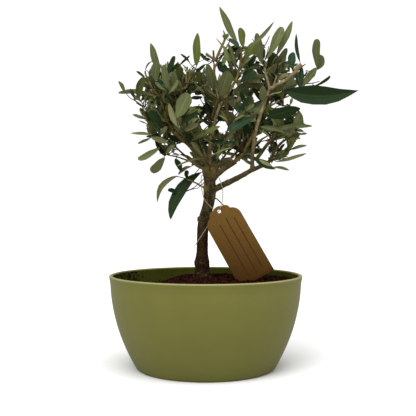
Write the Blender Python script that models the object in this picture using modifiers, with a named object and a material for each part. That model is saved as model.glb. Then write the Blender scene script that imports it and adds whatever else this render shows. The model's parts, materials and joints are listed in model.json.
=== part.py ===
"""An olive tree grown as a bonsai, in a round bowl planter, with a card tag on a loop of twine.

Axes: X to the right, Y away from the viewer, Z up, in metres. The origin is the middle of the
pot's flat underside. Angles are in degrees: azimuth 0 points right and 90 points back, and
elevation is above level.

The pot and the soil are turned. The trunk and the boughs are tapering limbs, each bough cut back
a hair from what carries it. Each mass of foliage is one stem with twigs and leaves that branch
from it by a seeded rule: opposite pairs, each pair turned a quarter against the last, as on an
olive. A twig or leaf that would touch a neighbour is left out.
"""

import math
import random
from collections import namedtuple

import bmesh
import bpy
from mathutils import Matrix, Vector
from mathutils.bvhtree import BVHTree

MM = 0.001
CLEAR = 0.35 * MM  # gap kept between two pieces that meet
WELD = 0.005 * MM

# Pot and soil
POT_RIM_RADIUS = 120 * MM
POT_BASE_RADIUS = 86 * MM
POT_HEIGHT = 115 * MM
POT_SWELL = 2.1  # how fast the side turns upright above the base
POT_WALL = 3 * MM
POT_LIP_OUT = 1.4 * MM
POT_LIP_DEPTH = 6 * MM
POT_CORNER = 2.5 * MM
POT_LIP_ROUND = 1 * MM
POT_LIP_DRAFT = 0.3 * MM  # the lip's side leans in this much towards its lower edge
POT_FOOT_ROUND = 0.6 * MM
POT_SIDES = 44
POT_OUTER_LEVELS = (0.07, 0.2, 0.38, 0.64)  # where the side's rings lie, as shares of the height
POT_INNER_LEVELS = (0.3, 0.6, 0.9)

SOIL_TOP = 110.2 * MM
SOIL_FLAT_RADIUS = 21 * MM  # level patch that the trunk stands on
SOIL_EDGE = 104 * MM
SOIL_EDGE_GAP = 0.4 * MM
SOIL_EDGE_RISE = 2.5 * MM  # the edge is higher on the right and lower on the left
SOIL_RINGS = (0.0, SOIL_FLAT_RADIUS, 68 * MM)

# Trunk
TRUNK_FOOT = SOIL_TOP + CLEAR
TRUNK_TOP = 252 * MM
TRUNK_RADIUS = 7 * MM
TRUNK_MIDDLE_X = 0.4 * MM
TRUNK_LEAN = 4.9 * MM  # the upper half stands this far right of the middle, the lower half left
TRUNK_KINK_HEIGHT = 192 * MM
TRUNK_KINK_SPAN = 17 * MM
TRUNK_STEP = 7.5 * MM
# Each bulge is (height, how much it adds to the radius, half its height)
TRUNK_BULGES = (
    (110 * MM, 5.2 * MM, 8 * MM),
    (129 * MM, 2.4 * MM, 8 * MM),
    (219 * MM, 0.9 * MM, 9 * MM),
    (245 * MM, 2.8 * MM, 8 * MM),
)
TRUNK_TOP_ROUNDING = 7 * MM
TRUNK_TOP_CLOSING = 0.75  # 1 would close the top to a point, 0 leaves it as wide as below
ROOT_LOBES = 5
ROOT_LOBE_DEPTH = 0.16
ROOT_LOBE_HEIGHT = 10 * MM
RIB_COUNT = 3  # low ribs that twist slowly up the trunk
RIB_DEPTH = 0.04
RIB_TWIST = 120  # radians a metre

LIMB_STEP = 10 * MM
THIN_BOUGH = 1.45 * MM  # boughs thinner than this are four-sided
LIMB_WANDER = 5  # degrees that a limb may stray from its line at each step

# The three tables give lengths in mm. leave and arrive are the (azimuth, elevation) of a limb at
# its base and at its tip. at is how far along its parent a bough starts, and late is above 1
# where it bends near its tip.
Bough = namedtuple("Bough", "name parent at leave arrive late length radius tip")
BOUGHS = (
    Bough("bough_right_low", "trunk", 110, (-6, 27), (-2, 25), 1, 76, 3.0, 2.1),
    Bough("bough_right_rise", "bough_right_low", 60, (0, 89), (0, 66), 1, 106, 2.3, 1.9),
    Bough("bough_right_top", "bough_right_rise", 103, (175, 76), (180, 78), 1, 28, 1.6, 1.3),
    Bough("bough_right_stub", "bough_right_rise", 102, (-5, 30), (0, 40), 1, 44, 2.0, 2.2),
    Bough("bough_right_spur", "bough_right_rise", 93, (-60, 5), (-55, 5), 1, 24, 1.2, 1.0),
    Bough("bough_right_outer", "bough_right_rise", 76, (25, 24), (8, 28), 1, 42, 1.3, 1.0),
    Bough("bough_right_back", "bough_right_rise", 62, (70, 40), (50, 56), 1, 26, 1.3, 1.0),
    Bough("bough_right_middle", "bough_right_rise", 30, (20, 38), (5, 26), 1, 20, 1.3, 1.0),
    Bough("bough_mid_right", "trunk", 135, (8, 29), (20, 40), 1.5, 30, 2.5, 1.8),
    Bough("bough_centre", "trunk", 138, (150, 82), (-4, 66), 1, 82, 2.7, 1.9),
    Bough("bough_centre_left", "bough_centre", 78, (170, 80), (176, 84), 1, 54, 1.7, 1.3),
    Bough("bough_centre_tip", "bough_centre_left", 50, (20, 50), (12, 66), 1, 36, 1.2, 1.0),
    Bough("bough_centre_right", "bough_centre", 79, (-25, 56), (-10, 70), 1, 34, 1.4, 1.1),
    Bough("bough_left_high", "trunk", 139, (184, 46), (180, 52), 1, 34, 2.4, 1.8),
    Bough("bough_left_upper", "trunk", 141, (150, 62), (165, 68), 1, 36, 1.9, 1.5),
    Bough("bough_left_low", "trunk", 132, (174, 27), (184, 40), 1, 38, 1.8, 1.4),
    Bough("bough_left_under", "bough_left_low", 26, (200, 18), (184, 16), 1, 31, 1.0, 0.8),
    Bough("bough_left_hang", "trunk", 108, (182, 36), (180, 24), 1, 32, 1.1, 0.9),
    Bough("bough_front_left", "trunk", 138, (240, 38), (234, 52), 1, 26, 2.0, 1.6),
    Bough("bough_front_right", "trunk", 136, (300, 32), (300, 48), 1, 26, 2.0, 1.6),
    Bough("bough_front", "trunk", 131, (268, 20), (262, 10), 1, 18, 1.2, 1.0),
    Bough("bough_back_left", "trunk", 137, (128, 34), (136, 48), 1, 30, 2.1, 1.6),
    Bough("bough_back_right", "trunk", 135, (52, 30), (48, 46), 1, 30, 2.1, 1.6),
    Bough("bough_back", "trunk", 139, (85, 52), (90, 60), 1, 32, 2.0, 1.5),
    Bough("bough_back_low", "trunk", 132, (98, 14), (96, 8), 1, 24, 1.3, 1.0),
    Bough("bough_sucker", "trunk", 104, (8, -20), (0, -50), 1, 22, 0.8, 0.7),
)

# A mass grows on from its bough's tip. length is its stem's, pairs is how many pairs of twigs the
# stem carries, and twig and leaf are how long these are.
Mass = namedtuple("Mass", "name bough arrive length pairs twig leaf seed")
MASSES = (
    Mass("foliage_left_hang", "bough_left_hang", (190, 10), 12, 0, 0, 22, 1),
    Mass("foliage_sucker", "bough_sucker", (10, -75), 6, 0, 0, 20, 22),
    Mass("foliage_right_leaf", "bough_right_spur", (-20, 5), 8, 0, 0, 24, 9),
    Mass("foliage_left_under", "bough_left_under", (184, 10), 12, 0, 14, 24, 21),
    Mass("foliage_top", "bough_centre_tip", (10, 75), 8, 0, 20, 20, 5),
    Mass("foliage_top_middle", "bough_centre_right", (0, 74), 36, 2, 26, 34, 6),
    Mass("foliage_right_top", "bough_right_top", (90, 84), 34, 2, 26, 36, 7),
    Mass("foliage_right_stub", "bough_right_stub", (-10, 40), 12, 0, 16, 26, 8),
    Mass("foliage_right_outer", "bough_right_outer", (0, 52), 42, 2, 18, 28, 17),
    Mass("foliage_left_outer", "bough_left_low", (180, 62), 96, 4, 20, 30, 2),
    Mass("foliage_left_high", "bough_left_high", (176, 74), 100, 4, 24, 32, 3),
    Mass("foliage_left_upper", "bough_left_upper", (180, 74), 88, 4, 28, 34, 18),
    Mass("foliage_top_left", "bough_centre_left", (180, 5), 16, 0, 24, 30, 4),
    Mass("foliage_right_back", "bough_right_back", (10, 66), 56, 3, 26, 34, 25),
    Mass("foliage_right_middle", "bough_right_middle", (-4, 26), 40, 3, 22, 34, 19),
    Mass("foliage_right_low", "bough_right_low", (-5, 40), 40, 3, 22, 28, 10),
    Mass("foliage_mid_right", "bough_mid_right", (10, 66), 94, 4, 28, 34, 11),
    Mass("foliage_front", "bough_front", (250, 20), 22, 1, 20, 30, 23),
    Mass("foliage_front_left", "bough_front_left", (214, 66), 84, 4, 28, 34, 12),
    Mass("foliage_front_right", "bough_front_right", (320, 70), 86, 4, 28, 34, 13),
    Mass("foliage_back_left", "bough_back_left", (150, 66), 96, 4, 28, 34, 14),
    Mass("foliage_back_right", "bough_back_right", (36, 66), 96, 4, 28, 34, 15),
    Mass("foliage_back", "bough_back", (100, 72), 90, 4, 26, 34, 16),
    Mass("foliage_back_low", "bough_back_low", (80, 20), 40, 2, 22, 31, 24),
)

# The few leaves that make the crown's own outline, each at a share of its mass's stem. droop is
# how far its tip hangs below a straight line, as a share of its length.
Leaf = namedtuple("Leaf", "mass share azimuth elevation length width droop")
OUTLINE_LEAVES = (
    Leaf("foliage_left_hang", 0.7, 184, -12, 38, 10, 0.45),
    Leaf("foliage_left_hang", 0.1, 176, -63, 52, 13, 0.0),
    Leaf("foliage_left_hang", 0.5, 340, -30, 30, 12, 0.0),
    Leaf("foliage_right_leaf", 0.9, -10, -2, 94, 21, 0.02),
    Leaf("foliage_top_middle", 0.97, 178, 62, 66, 11, 0.0),
    Leaf("foliage_top_middle", 0.75, 170, 84, 34, 12, 0.0),
    Leaf("foliage_top_left", 0.95, 180, 86, 38, 10, 0.0),
    Leaf("foliage_left_high", 0.98, 0, 84, 38, 9, 0.0),
    Leaf("foliage_left_outer", 0.03, 205, -32, 30, 10, 0.0),
    Leaf("foliage_left_outer", 0.8, 182, 18, 34, 7, 0.1),
    Leaf("foliage_left_outer", 0.98, 182, 60, 20, 6, 0.0),
    Leaf("foliage_left_under", 0.8, 190, -32, 34, 11, 0.0),
    Leaf("foliage_left_under", 0.3, 186, -46, 32, 11, 0.0),
    Leaf("foliage_right_top", 0.6, 0, 52, 52, 10, 0.0),
    Leaf("foliage_right_top", 0.12, -6, 44, 52, 11, -0.12),
    Leaf("foliage_right_stub", 0.8, 185, 82, 34, 7, 0.0),
    Leaf("foliage_right_outer", 0.98, 20, 84, 36, 10, 0.0),
    Leaf("foliage_right_low", 0.04, -25, -17, 40, 10, 0.0),
)

# Stems and twigs. A pair of numbers is the least and the most of what is drawn by chance.
UPRIGHT = Vector((0.13, 0.21, 1))  # a little off plumb, so that no limb runs along it
QUARTER_TURN = 90
STEM_SHARE = 0.9  # a mass's stem starts this much thinner than its bough ends
STEM_WANDER = 5
STEM_FIRST_PAIR = 0.3  # of the space between two pairs of twigs, before the first
TWIG_RADIUS = 0.8 * MM
TWIG_TIP_RADIUS = 0.5 * MM
TWIG_OPENINGS = (38, 58)  # degrees between a twig and its stem
TWIG_TURNS = (-25, 25)
TWIG_LENGTHS = (0.75, 1.2)
TWIG_SHRINK = 0.25  # twigs at the stem's tip are this share shorter than at its base
TWIG_LIFT = 0.35  # how strongly twigs turn up towards the light
TWIG_STEP = 13 * MM
TWIG_WANDER = 6

# Leaves
LEAF_SPACING = 12.5 * MM
LEAF_FIRST_PAIR = 0.35  # share of the twig below its first pair
LEAF_PAIR_REACH = 0.62  # share of the twig that the pairs are spread over
LEAF_SHRINK = 0.12  # each pair is this share shorter than the one below it
LEAF_OPENING = 50
LEAF_OPENING_DRAW = (-12, 12)
LEAF_TURNS = (-22, 22)
LEAF_ROLLS = (-35, 35)
LEAF_LIFT = 0.30
LEAF_LENGTHS = (0.72, 1.18)
LEAF_WIDTH_SHARE = 0.34
LEAF_WIDTHS = (0.85, 1.15)
LEAF_DROOPS = (-0.04, 0.16)
LEAF_FACING = Vector((0, -1, 0.35))  # the outline leaves show their faces to the front
TIP_LEAF_LENGTHS = (0.75, 1.0)
TIP_LEAF_WIDTH_SHARE = 0.25
TIP_LEAF_DROOP = 0.05
TIP_LEAF_SINK = MM  # how far a tip leaf's root lies back in its twig
LEAF_THICK_SHARE = 0.035
LEAF_NECK = 0.22  # share of the length at which the narrow end's ring lies
LEAF_NECK_WIDTH = 0.58
LEAF_WIDEST = 0.66

# Card tag and its twine
TAG_WIDTH = 47 * MM
TAG_LENGTH = 82 * MM  # to the shoulders, below the scalloped head
TAG_THICKNESS = 0.9 * MM
TAG_FOOT = Vector((63.0, -24.5, 111.5)) * MM  # middle of its lower edge
TAG_SLANT = 29.3  # degrees that it is turned in the picture plane
TAG_LEAN = 6.5  # degrees that its head leans back
TAG_SCALLOPS = ((23, 0), (14, 10.8), (6.4, 17.2))  # notches between the scallops, right half, in mm
TAG_HOLE_RADIUS = 2.3 * MM
TAG_HOLE_RISE = 13 * MM
TAG_HOLE_SIDES = 12
TAG_SCALLOP_BULGE = 2.2 * MM
TAG_SCALLOP_STEPS = 4
TWINE_RADIUS = 0.5 * MM

# The twine's route in mm: from its loose end, up behind the tag, through the tag's hole to the
# front, over the tag's edge, up and round behind the trunk, and down to its knot behind the tag
TWINE_ROUTE = (
    (-14.5, -10.8, 150.0),
    (-9.5, -11.2, 157.5),
    (-2.5, -11.4, 168.0),
    (5.0, -11.2, 180.0),
    (12.0, -11.2, 189.0),
    (15.2, -12.2, 193.2),
    (16.5, -14.8, 195.1),
    (16.9, -17.4, 196.3),
    (18.6, -17.2, 200.2),
    (20.2, -14.6, 205.6),
    (21.0, -10.6, 213.0),
    (20.9, -9.0, 221.0),
    (18.8, -7.6, 229.5),
    (16.4, -3.6, 236.0),
    (15.2, 3.4, 239.0),
    (10.5, 8.9, 240.0),
    (2.0, 9.7, 240.0),
    (-4.2, 5.2, 239.0),
    (-5.8, -1.6, 236.0),
    (-5.4, -6.4, 229.0),
    (-4.6, -9.2, 219.5),
    (-2.0, -10.2, 209.5),
    (3.6, -10.2, 202.0),
    (9.2, -10.0, 196.8),
    (12.2, -10.0, 193.2),
)
TWINE_POINTS = 35

COLOURS = {
    "pot": ((0.170, 0.168, 0.042), 0.55),
    "soil": ((0.022, 0.012, 0.009), 0.95),
    "bark": ((0.110, 0.075, 0.038), 0.85),
    "leaf": ((0.075, 0.100, 0.040), 0.6),
    "card": ((0.235, 0.135, 0.055), 0.9),
    "twine": ((0.38, 0.31, 0.20), 0.9),
}


def empty_scene():
    for old in list(bpy.data.objects):
        bpy.data.objects.remove(old, do_unlink=True)


def new_collection(name):
    collection = bpy.data.collections.new(name)
    bpy.context.scene.collection.children.link(collection)
    return collection


def material(name):
    """The Principled material for one of the COLOURS, made once."""
    made = bpy.data.materials.get(name)
    if made is None:
        colour, roughness = COLOURS[name]
        made = bpy.data.materials.new(name)
        made.use_nodes = True
        shader = made.node_tree.nodes["Principled BSDF"]
        shader.inputs["Base Color"].default_value = (*colour, 1)
        shader.inputs["Roughness"].default_value = roughness
        shader.inputs["Metallic"].default_value = 0
    return made


def add_object(name, mesh, collection, finish):
    obj = bpy.data.objects.new(name, mesh)
    collection.objects.link(obj)
    mesh.materials.clear()
    mesh.materials.append(material(finish))
    mesh.shade_smooth()
    mesh.set_sharp_from_angle(angle=math.radians(40))
    return obj


def heading(azimuth, elevation):
    """Unit vector for an azimuth and an elevation in degrees."""
    a, e = math.radians(azimuth), math.radians(elevation)
    return Vector((math.cos(a) * math.cos(e), math.sin(a) * math.cos(e), math.sin(e)))


def evaluated_mesh(obj):
    """A plain mesh of the object with its modifiers and its curve's bevel worked out."""
    graph = bpy.context.evaluated_depsgraph_get()
    return bpy.data.meshes.new_from_object(obj.evaluated_get(graph))


def edit(mesh, change):
    """Runs change(bmesh) on a mesh."""
    bm = bmesh.new()
    bm.from_mesh(mesh)
    change(bm)
    bm.to_mesh(mesh)
    bm.free()
    mesh.update()


def welded(mesh):
    edit(mesh, lambda bm: bmesh.ops.remove_doubles(bm, verts=bm.verts, dist=WELD))
    return mesh


def largest_body(mesh):
    """Leaves only the biggest connected piece of a mesh."""

    def change(bm):
        unseen, bodies = set(bm.verts), []
        while unseen:
            body, edge = set(), [unseen.pop()]
            while edge:
                vertex = edge.pop()
                body.add(vertex)
                near = {e.other_vert(vertex) for e in vertex.link_edges} & unseen
                unseen -= near
                edge.extend(near)
            bodies.append(body)
        bodies.sort(key=len)
        scraps = [v for body in bodies[:-1] for v in body]
        bmesh.ops.delete(bm, geom=scraps, context="VERTS")

    edit(mesh, change)
    return mesh


def combined(mesh, operation, cutter=None, collection=None):
    """The mesh after one Boolean with a cutter mesh or with every object of a collection."""
    body = bpy.data.objects.new("body", mesh)
    bpy.context.scene.collection.objects.link(body)
    boolean = body.modifiers.new("join", "BOOLEAN")
    boolean.operation = operation
    other = None
    if cutter is not None:
        other = bpy.data.objects.new("cutter", cutter)
        bpy.context.scene.collection.objects.link(other)
        boolean.object = other
    else:
        boolean.operand_type = "COLLECTION"
        boolean.collection = collection
    result = evaluated_mesh(body)
    bpy.data.objects.remove(body)
    if other is not None:
        bpy.data.objects.remove(other)
    return result


def turned(name, profile, sides):
    """A solid of revolution about Z, from (radius, height) points that start and end on the axis."""
    mesh = bpy.data.meshes.new(name)
    points = [(radius, 0, height) for radius, height in profile]
    mesh.from_pydata(points, [(i, i + 1) for i in range(len(points) - 1)], [])
    obj = bpy.data.objects.new(name, mesh)
    bpy.context.scene.collection.objects.link(obj)
    screw = obj.modifiers.new("turn", "SCREW")
    screw.axis = "Z"
    screw.angle = 2 * math.pi
    screw.steps = screw.render_steps = sides
    screw.use_merge_vertices = True
    screw.merge_threshold = WELD
    result = welded(evaluated_mesh(obj))
    bpy.data.objects.remove(obj)
    return result


def pot_radius(height):
    """Outer radius of the pot's side at a height."""
    share = height / POT_HEIGHT
    side = POT_RIM_RADIUS - POT_LIP_OUT
    return POT_BASE_RADIUS + (side - POT_BASE_RADIUS) * (1 - (1 - share) ** POT_SWELL)


def make_pot(parts):
    """The bowl: its profile runs up the inside, over the lip and down the outside."""
    under_lip = POT_HEIGHT - POT_LIP_DEPTH
    floor_edge = pot_radius(POT_WALL) - POT_WALL
    inside = [(0, POT_WALL), (floor_edge - POT_CORNER, POT_WALL)]
    inner = [share * POT_HEIGHT for share in POT_INNER_LEVELS]
    inside += [(pot_radius(z) - POT_WALL, z) for z in [POT_WALL + POT_CORNER, *inner]]
    lip = [
        (POT_RIM_RADIUS - POT_LIP_OUT - POT_WALL, POT_HEIGHT),
        (POT_RIM_RADIUS - POT_LIP_ROUND, POT_HEIGHT),
        (POT_RIM_RADIUS, POT_HEIGHT - POT_LIP_ROUND),
        (POT_RIM_RADIUS - POT_LIP_DRAFT, under_lip + POT_LIP_ROUND),
        (pot_radius(under_lip), under_lip),
    ]
    outer = [share * POT_HEIGHT for share in POT_OUTER_LEVELS]
    outside = [(pot_radius(z), z) for z in reversed(outer)]
    foot = [(POT_BASE_RADIUS, POT_FOOT_ROUND), (POT_BASE_RADIUS - POT_CORNER, 0), (0, 0)]
    mesh = turned("pot", inside + lip + outside + foot, POT_SIDES)
    return add_object("pot", mesh, parts, "pot")


def soil_height(x, y):
    """The mounded top of the soil: level round the trunk, and lowest at the left wall."""
    radius = math.hypot(x, y)
    edge_radius = pot_radius(SOIL_EDGE) - POT_WALL
    share = min(1.0, max(0.0, (edge_radius - radius) / (edge_radius - SOIL_FLAT_RADIUS)))
    smooth = share * share * (3 - 2 * share)
    edge = SOIL_EDGE + SOIL_EDGE_RISE * x / edge_radius
    return edge + (SOIL_TOP - edge) * smooth


def edge_share(point):
    """0 in the middle of the soil and 1 at its edge."""
    return min(1.0, (math.hypot(point.x, point.y) / (pot_radius(SOIL_EDGE) - POT_WALL)) ** 4)


def make_soil(parts):
    """The soil fills the bowl, a hair clear of its wall, and its top follows soil_height."""
    levels = [share * POT_HEIGHT for share in POT_INNER_LEVELS]
    bottom = POT_WALL + CLEAR
    side = [(pot_radius(z) - POT_WALL - CLEAR, z) for z in reversed(levels)]
    foot = [(pot_radius(POT_WALL) - POT_WALL - POT_CORNER - 2 * CLEAR, bottom), (0, bottom)]
    corner = [(pot_radius(POT_WALL + POT_CORNER) - POT_WALL - CLEAR, POT_WALL + POT_CORNER + CLEAR)]
    top = [(radius, SOIL_TOP) for radius in SOIL_RINGS]
    mesh = turned("soil", top + side + corner + foot, POT_SIDES)
    for vertex in mesh.vertices:
        if vertex.co.z > levels[-2] + MM:
            vertex.co.z = soil_height(vertex.co.x, vertex.co.y)
            shrink = 1 - (SOIL_EDGE_GAP + CLEAR) / pot_radius(SOIL_EDGE) * edge_share(vertex.co)
            vertex.co.x *= shrink
            vertex.co.y *= shrink
    return add_object("soil", mesh, parts, "soil")


def trunk_centre(height):
    """The middle of the trunk at a height: upright, with one kink to the right."""
    kink = math.tanh((height - TRUNK_KINK_HEIGHT) / TRUNK_KINK_SPAN)
    return Vector((TRUNK_MIDDLE_X + TRUNK_LEAN * kink, 0, height))


def trunk_radius(height):
    radius = TRUNK_RADIUS
    for middle, extra, spread in TRUNK_BULGES:
        radius += extra * math.exp(-(((height - middle) / spread) ** 2))
    below_top = TRUNK_TOP - height
    if below_top < TRUNK_TOP_ROUNDING:
        share = 1 - below_top / TRUNK_TOP_ROUNDING
        radius *= math.sqrt(1 - TRUNK_TOP_CLOSING * share * share)
    return radius


def tube(path, radii, resolution=2, profile=None):
    """A closed tapering tube along a path, round, or with the outline of a profile curve."""
    curve = bpy.data.curves.new("tube", "CURVE")
    curve.dimensions = "3D"
    curve.use_fill_caps = True
    if profile is None:
        curve.bevel_depth = MM
        curve.bevel_resolution = resolution
    else:
        curve.bevel_mode = "OBJECT"
        curve.bevel_object = profile
    spline = curve.splines.new("POLY")
    spline.points.add(len(path) - 1)
    for point, place, radius in zip(spline.points, path, radii):
        point.co = (*place, 1)
        point.radius = radius / MM
    obj = bpy.data.objects.new("tube", curve)
    bpy.context.scene.collection.objects.link(obj)
    mesh = welded(evaluated_mesh(obj))
    bpy.data.objects.remove(obj)
    edit(mesh, lambda bm: bmesh.ops.recalc_face_normals(bm, faces=bm.faces))
    return mesh


def grown(mesh, distance):
    """A copy of a mesh with its surface pushed outwards."""
    larger = mesh.copy()

    def change(bm):
        bm.normal_update()
        for vertex in bm.verts:
            vertex.co += vertex.normal * distance

    edit(larger, change)
    return larger


def trunk_path():
    count = round((TRUNK_TOP - TRUNK_FOOT) / TRUNK_STEP)
    heights = [TRUNK_FOOT + (TRUNK_TOP - TRUNK_FOOT) * i / count for i in range(count + 1)]
    path = [trunk_centre(height) for height in heights]
    path[0].x = path[1].x  # the first step is upright, so the foot is cut level
    return path


def make_trunk(parts):
    """The trunk with its root flare and burl, its foot cut level on the soil."""
    path = trunk_path()
    mesh = tube(path, [trunk_radius(point.z) for point in path], 4)
    for vertex in mesh.vertices:
        middle = trunk_centre(vertex.co.z)
        angle = math.atan2(vertex.co.y, vertex.co.x - middle.x)
        fade = math.exp(-(vertex.co.z - TRUNK_FOOT) / ROOT_LOBE_HEIGHT)
        swell = 1 + ROOT_LOBE_DEPTH * fade * math.cos(ROOT_LOBES * angle + 1)
        swell += RIB_DEPTH * math.cos(RIB_COUNT * angle + RIB_TWIST * vertex.co.z)
        vertex.co.x = middle.x + (vertex.co.x - middle.x) * swell
        vertex.co.y *= swell
    return add_object("trunk", mesh, parts, "bark")


def limb_path(start, first, last, length, late, step, wander, seed):
    """Points along a limb that leaves along first and arrives along last, straying a little."""
    draw = random.Random(seed)
    count = max(2, round(length / step))
    path = [start.copy()]
    for i in range(count):
        share = ((i + 0.5) / count) ** late
        line = (first * (1 - share) + last * share).normalized()
        stray = Vector((draw.uniform(-1, 1), draw.uniform(-1, 1), draw.uniform(-1, 1)))
        line = (line + stray * math.radians(wander)).normalized()
        path.append(path[-1] + line * (length / count))
    return path


def point_along(path, distance):
    """The point at a distance along a path."""
    for a, b in zip(path, path[1:]):
        span = (b - a).length
        if distance <= span:
            return a.lerp(b, distance / span)
        distance -= span
    return path[-1].copy()


def tip_heading(path):
    return (path[-1] - path[-2]).normalized()


def tapered(path, base, tip):
    last = len(path) - 1
    return [base + (tip - base) * i / last for i in range(len(path))]


Shoot = namedtuple("Shoot", "path base tip outline leaves")
Blade = namedtuple("Blade", "root along up length width droop")


def blade_pair(draw, root, line, phase, length):
    """Two opposite leaves at a point of a twig that runs along line."""
    side = line.cross(UPRIGHT).normalized()
    side.rotate(Matrix.Rotation(math.radians(phase + draw.uniform(*LEAF_TURNS)), 3, line))
    pair = []
    for way in (1, -1):
        angle = math.radians(LEAF_OPENING + draw.uniform(*LEAF_OPENING_DRAW))
        along = line * math.cos(angle) + side * way * math.sin(angle)
        along = (along + Vector((0, 0, LEAF_LIFT))).normalized()
        up = (line - along * line.dot(along)).normalized()
        up.rotate(Matrix.Rotation(math.radians(draw.uniform(*LEAF_ROLLS)), 3, along))
        size = length * draw.uniform(*LEAF_LENGTHS)
        width = size * LEAF_WIDTH_SHARE * draw.uniform(*LEAF_WIDTHS)
        pair.append(Blade(root, along, up, size, width, draw.uniform(*LEAF_DROOPS)))
    return pair


def tip_leaf(path, size, width_share):
    """The leaf that carries on from the end of a path."""
    line = tip_heading(path)
    root = path[-1] - line * TIP_LEAF_SINK
    return Blade(root, line, line.orthogonal().normalized(), size, size * width_share, TIP_LEAF_DROOP)


def leafy_twig(draw, start, first, length, leaf):
    """A twig with leaves in opposite pairs and one leaf at its tip."""
    lifted = (first + Vector((0, 0, TWIG_LIFT))).normalized()
    seed = draw.randrange(10**6)
    path = limb_path(start, first, lifted, length, 1, TWIG_STEP, TWIG_WANDER, seed)
    pairs = max(1, int(length / LEAF_SPACING))
    blades = []
    for k in range(pairs):
        distance = length * (LEAF_FIRST_PAIR + LEAF_PAIR_REACH * k / pairs)
        line = (first * (pairs - k) + lifted * k).normalized()
        size = leaf * (1 - LEAF_SHRINK * k)
        blades += blade_pair(draw, point_along(path, distance), line, QUARTER_TURN * k, size)
    blades.append(tip_leaf(path, leaf * draw.uniform(*TIP_LEAF_LENGTHS), LEAF_WIDTH_SHARE))
    return Shoot(path, TWIG_RADIUS, TWIG_TIP_RADIUS, [], blades)


def grow_mass(mass, bough_path, bough_tip):
    """The shoots of a mass: its stem, then its twigs in pairs, each turned a quarter on the last."""
    draw = random.Random(mass.seed)
    first = tip_heading(bough_path)
    start = bough_path[-1] + first * CLEAR
    last = heading(*mass.arrive)
    reach = mass.length * MM
    path = limb_path(start, first, last, reach, 1, TWIG_STEP, STEM_WANDER, mass.seed)
    base = bough_tip * STEM_SHARE
    line = tip_heading(path)
    leaf_length = mass.leaf * MM
    blades = blade_pair(draw, path[-1] - line * TIP_LEAF_SINK, line, 0, leaf_length)
    blades.append(tip_leaf(path, leaf_length, TIP_LEAF_WIDTH_SHARE))
    outline = []
    for leaf in OUTLINE_LEAVES:
        if leaf.mass == mass.name:
            root = point_along(path, reach * leaf.share)
            along = heading(leaf.azimuth, leaf.elevation)
            up = (LEAF_FACING - along * LEAF_FACING.dot(along)).normalized()
            outline.append(Blade(root, along, up, leaf.length * MM, leaf.width * MM, leaf.droop))
    shoots = [Shoot(path, base, TWIG_TIP_RADIUS, outline, blades)]
    for k in range(mass.pairs):
        share = (k + STEM_FIRST_PAIR) / mass.pairs
        root = point_along(path, reach * share)
        line = (first * (1 - share) + last * share).normalized()
        side = line.cross(UPRIGHT).normalized()
        turn = QUARTER_TURN * k + draw.uniform(*TWIG_TURNS)
        side.rotate(Matrix.Rotation(math.radians(turn), 3, line))
        for way in (1, -1):
            angle = math.radians(draw.uniform(*TWIG_OPENINGS))
            out = line * math.cos(angle) + side * way * math.sin(angle)
            length = mass.twig * MM * draw.uniform(*TWIG_LENGTHS) * (1 - TWIG_SHRINK * share)
            shoots.append(leafy_twig(draw, root, out.normalized(), length, leaf_length))
    return shoots


def blade_mesh(blade, extra=0.0):
    """One leaf, or a larger one to try its room: a flattened ball with two rings, drawn out."""
    bm = bmesh.new()
    bmesh.ops.create_uvsphere(bm, u_segments=3, v_segments=3, radius=1)
    across = blade.along.cross(blade.up).normalized()
    thick = blade.length * LEAF_THICK_SHARE
    for vertex in bm.verts:
        x, y, z = vertex.co
        ring = math.hypot(x, y)
        if ring < WELD:
            share, size, ring = float(z > 0), 0.0, 1.0
        elif z < 0:
            share, size = LEAF_NECK, LEAF_NECK_WIDTH
        else:
            share, size = LEAF_WIDEST, 1.0
        reach = blade.length * share + extra * (share - LEAF_NECK)
        place = blade.root + blade.along * reach
        place.z -= blade.droop * blade.length * share * share
        place += across * (x / ring) * (size * blade.width / 2 + extra * (size > 0))
        place += blade.up * (y / ring) * (size * thick / 2 + extra * (size > 0))
        vertex.co = place
    bmesh.ops.recalc_face_normals(bm, faces=bm.faces)
    mesh = bpy.data.meshes.new("leaf")
    bm.to_mesh(mesh)
    bm.free()
    return mesh


Placed = namedtuple("Placed", "tree low high owner shoot")


class Neighbours:
    """Every surface placed so far, to ask whether a new one would touch them."""

    def __init__(self):
        self.placed = []

    def surface(self, mesh, owner, shoot):
        points = [vertex.co.copy() for vertex in mesh.vertices]
        tree = BVHTree.FromPolygons(points, [tuple(face.vertices) for face in mesh.polygons])
        low = Vector([min(point[i] for point in points) for i in range(3)])
        high = Vector([max(point[i] for point in points) for i in range(3)])
        return Placed(tree, low, high, owner, shoot)

    def add(self, mesh, owner, shoot=None):
        self.placed.append(self.surface(mesh, owner, shoot))

    def touched(self, mesh, owner, shoot=None, same_mass=False):
        """True if mesh meets another node's surface, or another shoot's in its own mass."""
        new = self.surface(mesh, owner, shoot)
        for other in self.placed:
            if (other.owner == owner) != same_mass:
                continue
            if same_mass and (other.shoot == shoot or other.shoot == 0):
                continue
            if any(new.low[i] > other.high[i] or new.high[i] < other.low[i] for i in range(3)):
                continue
            if new.tree.overlap(other.tree):
                return True
        return False


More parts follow.
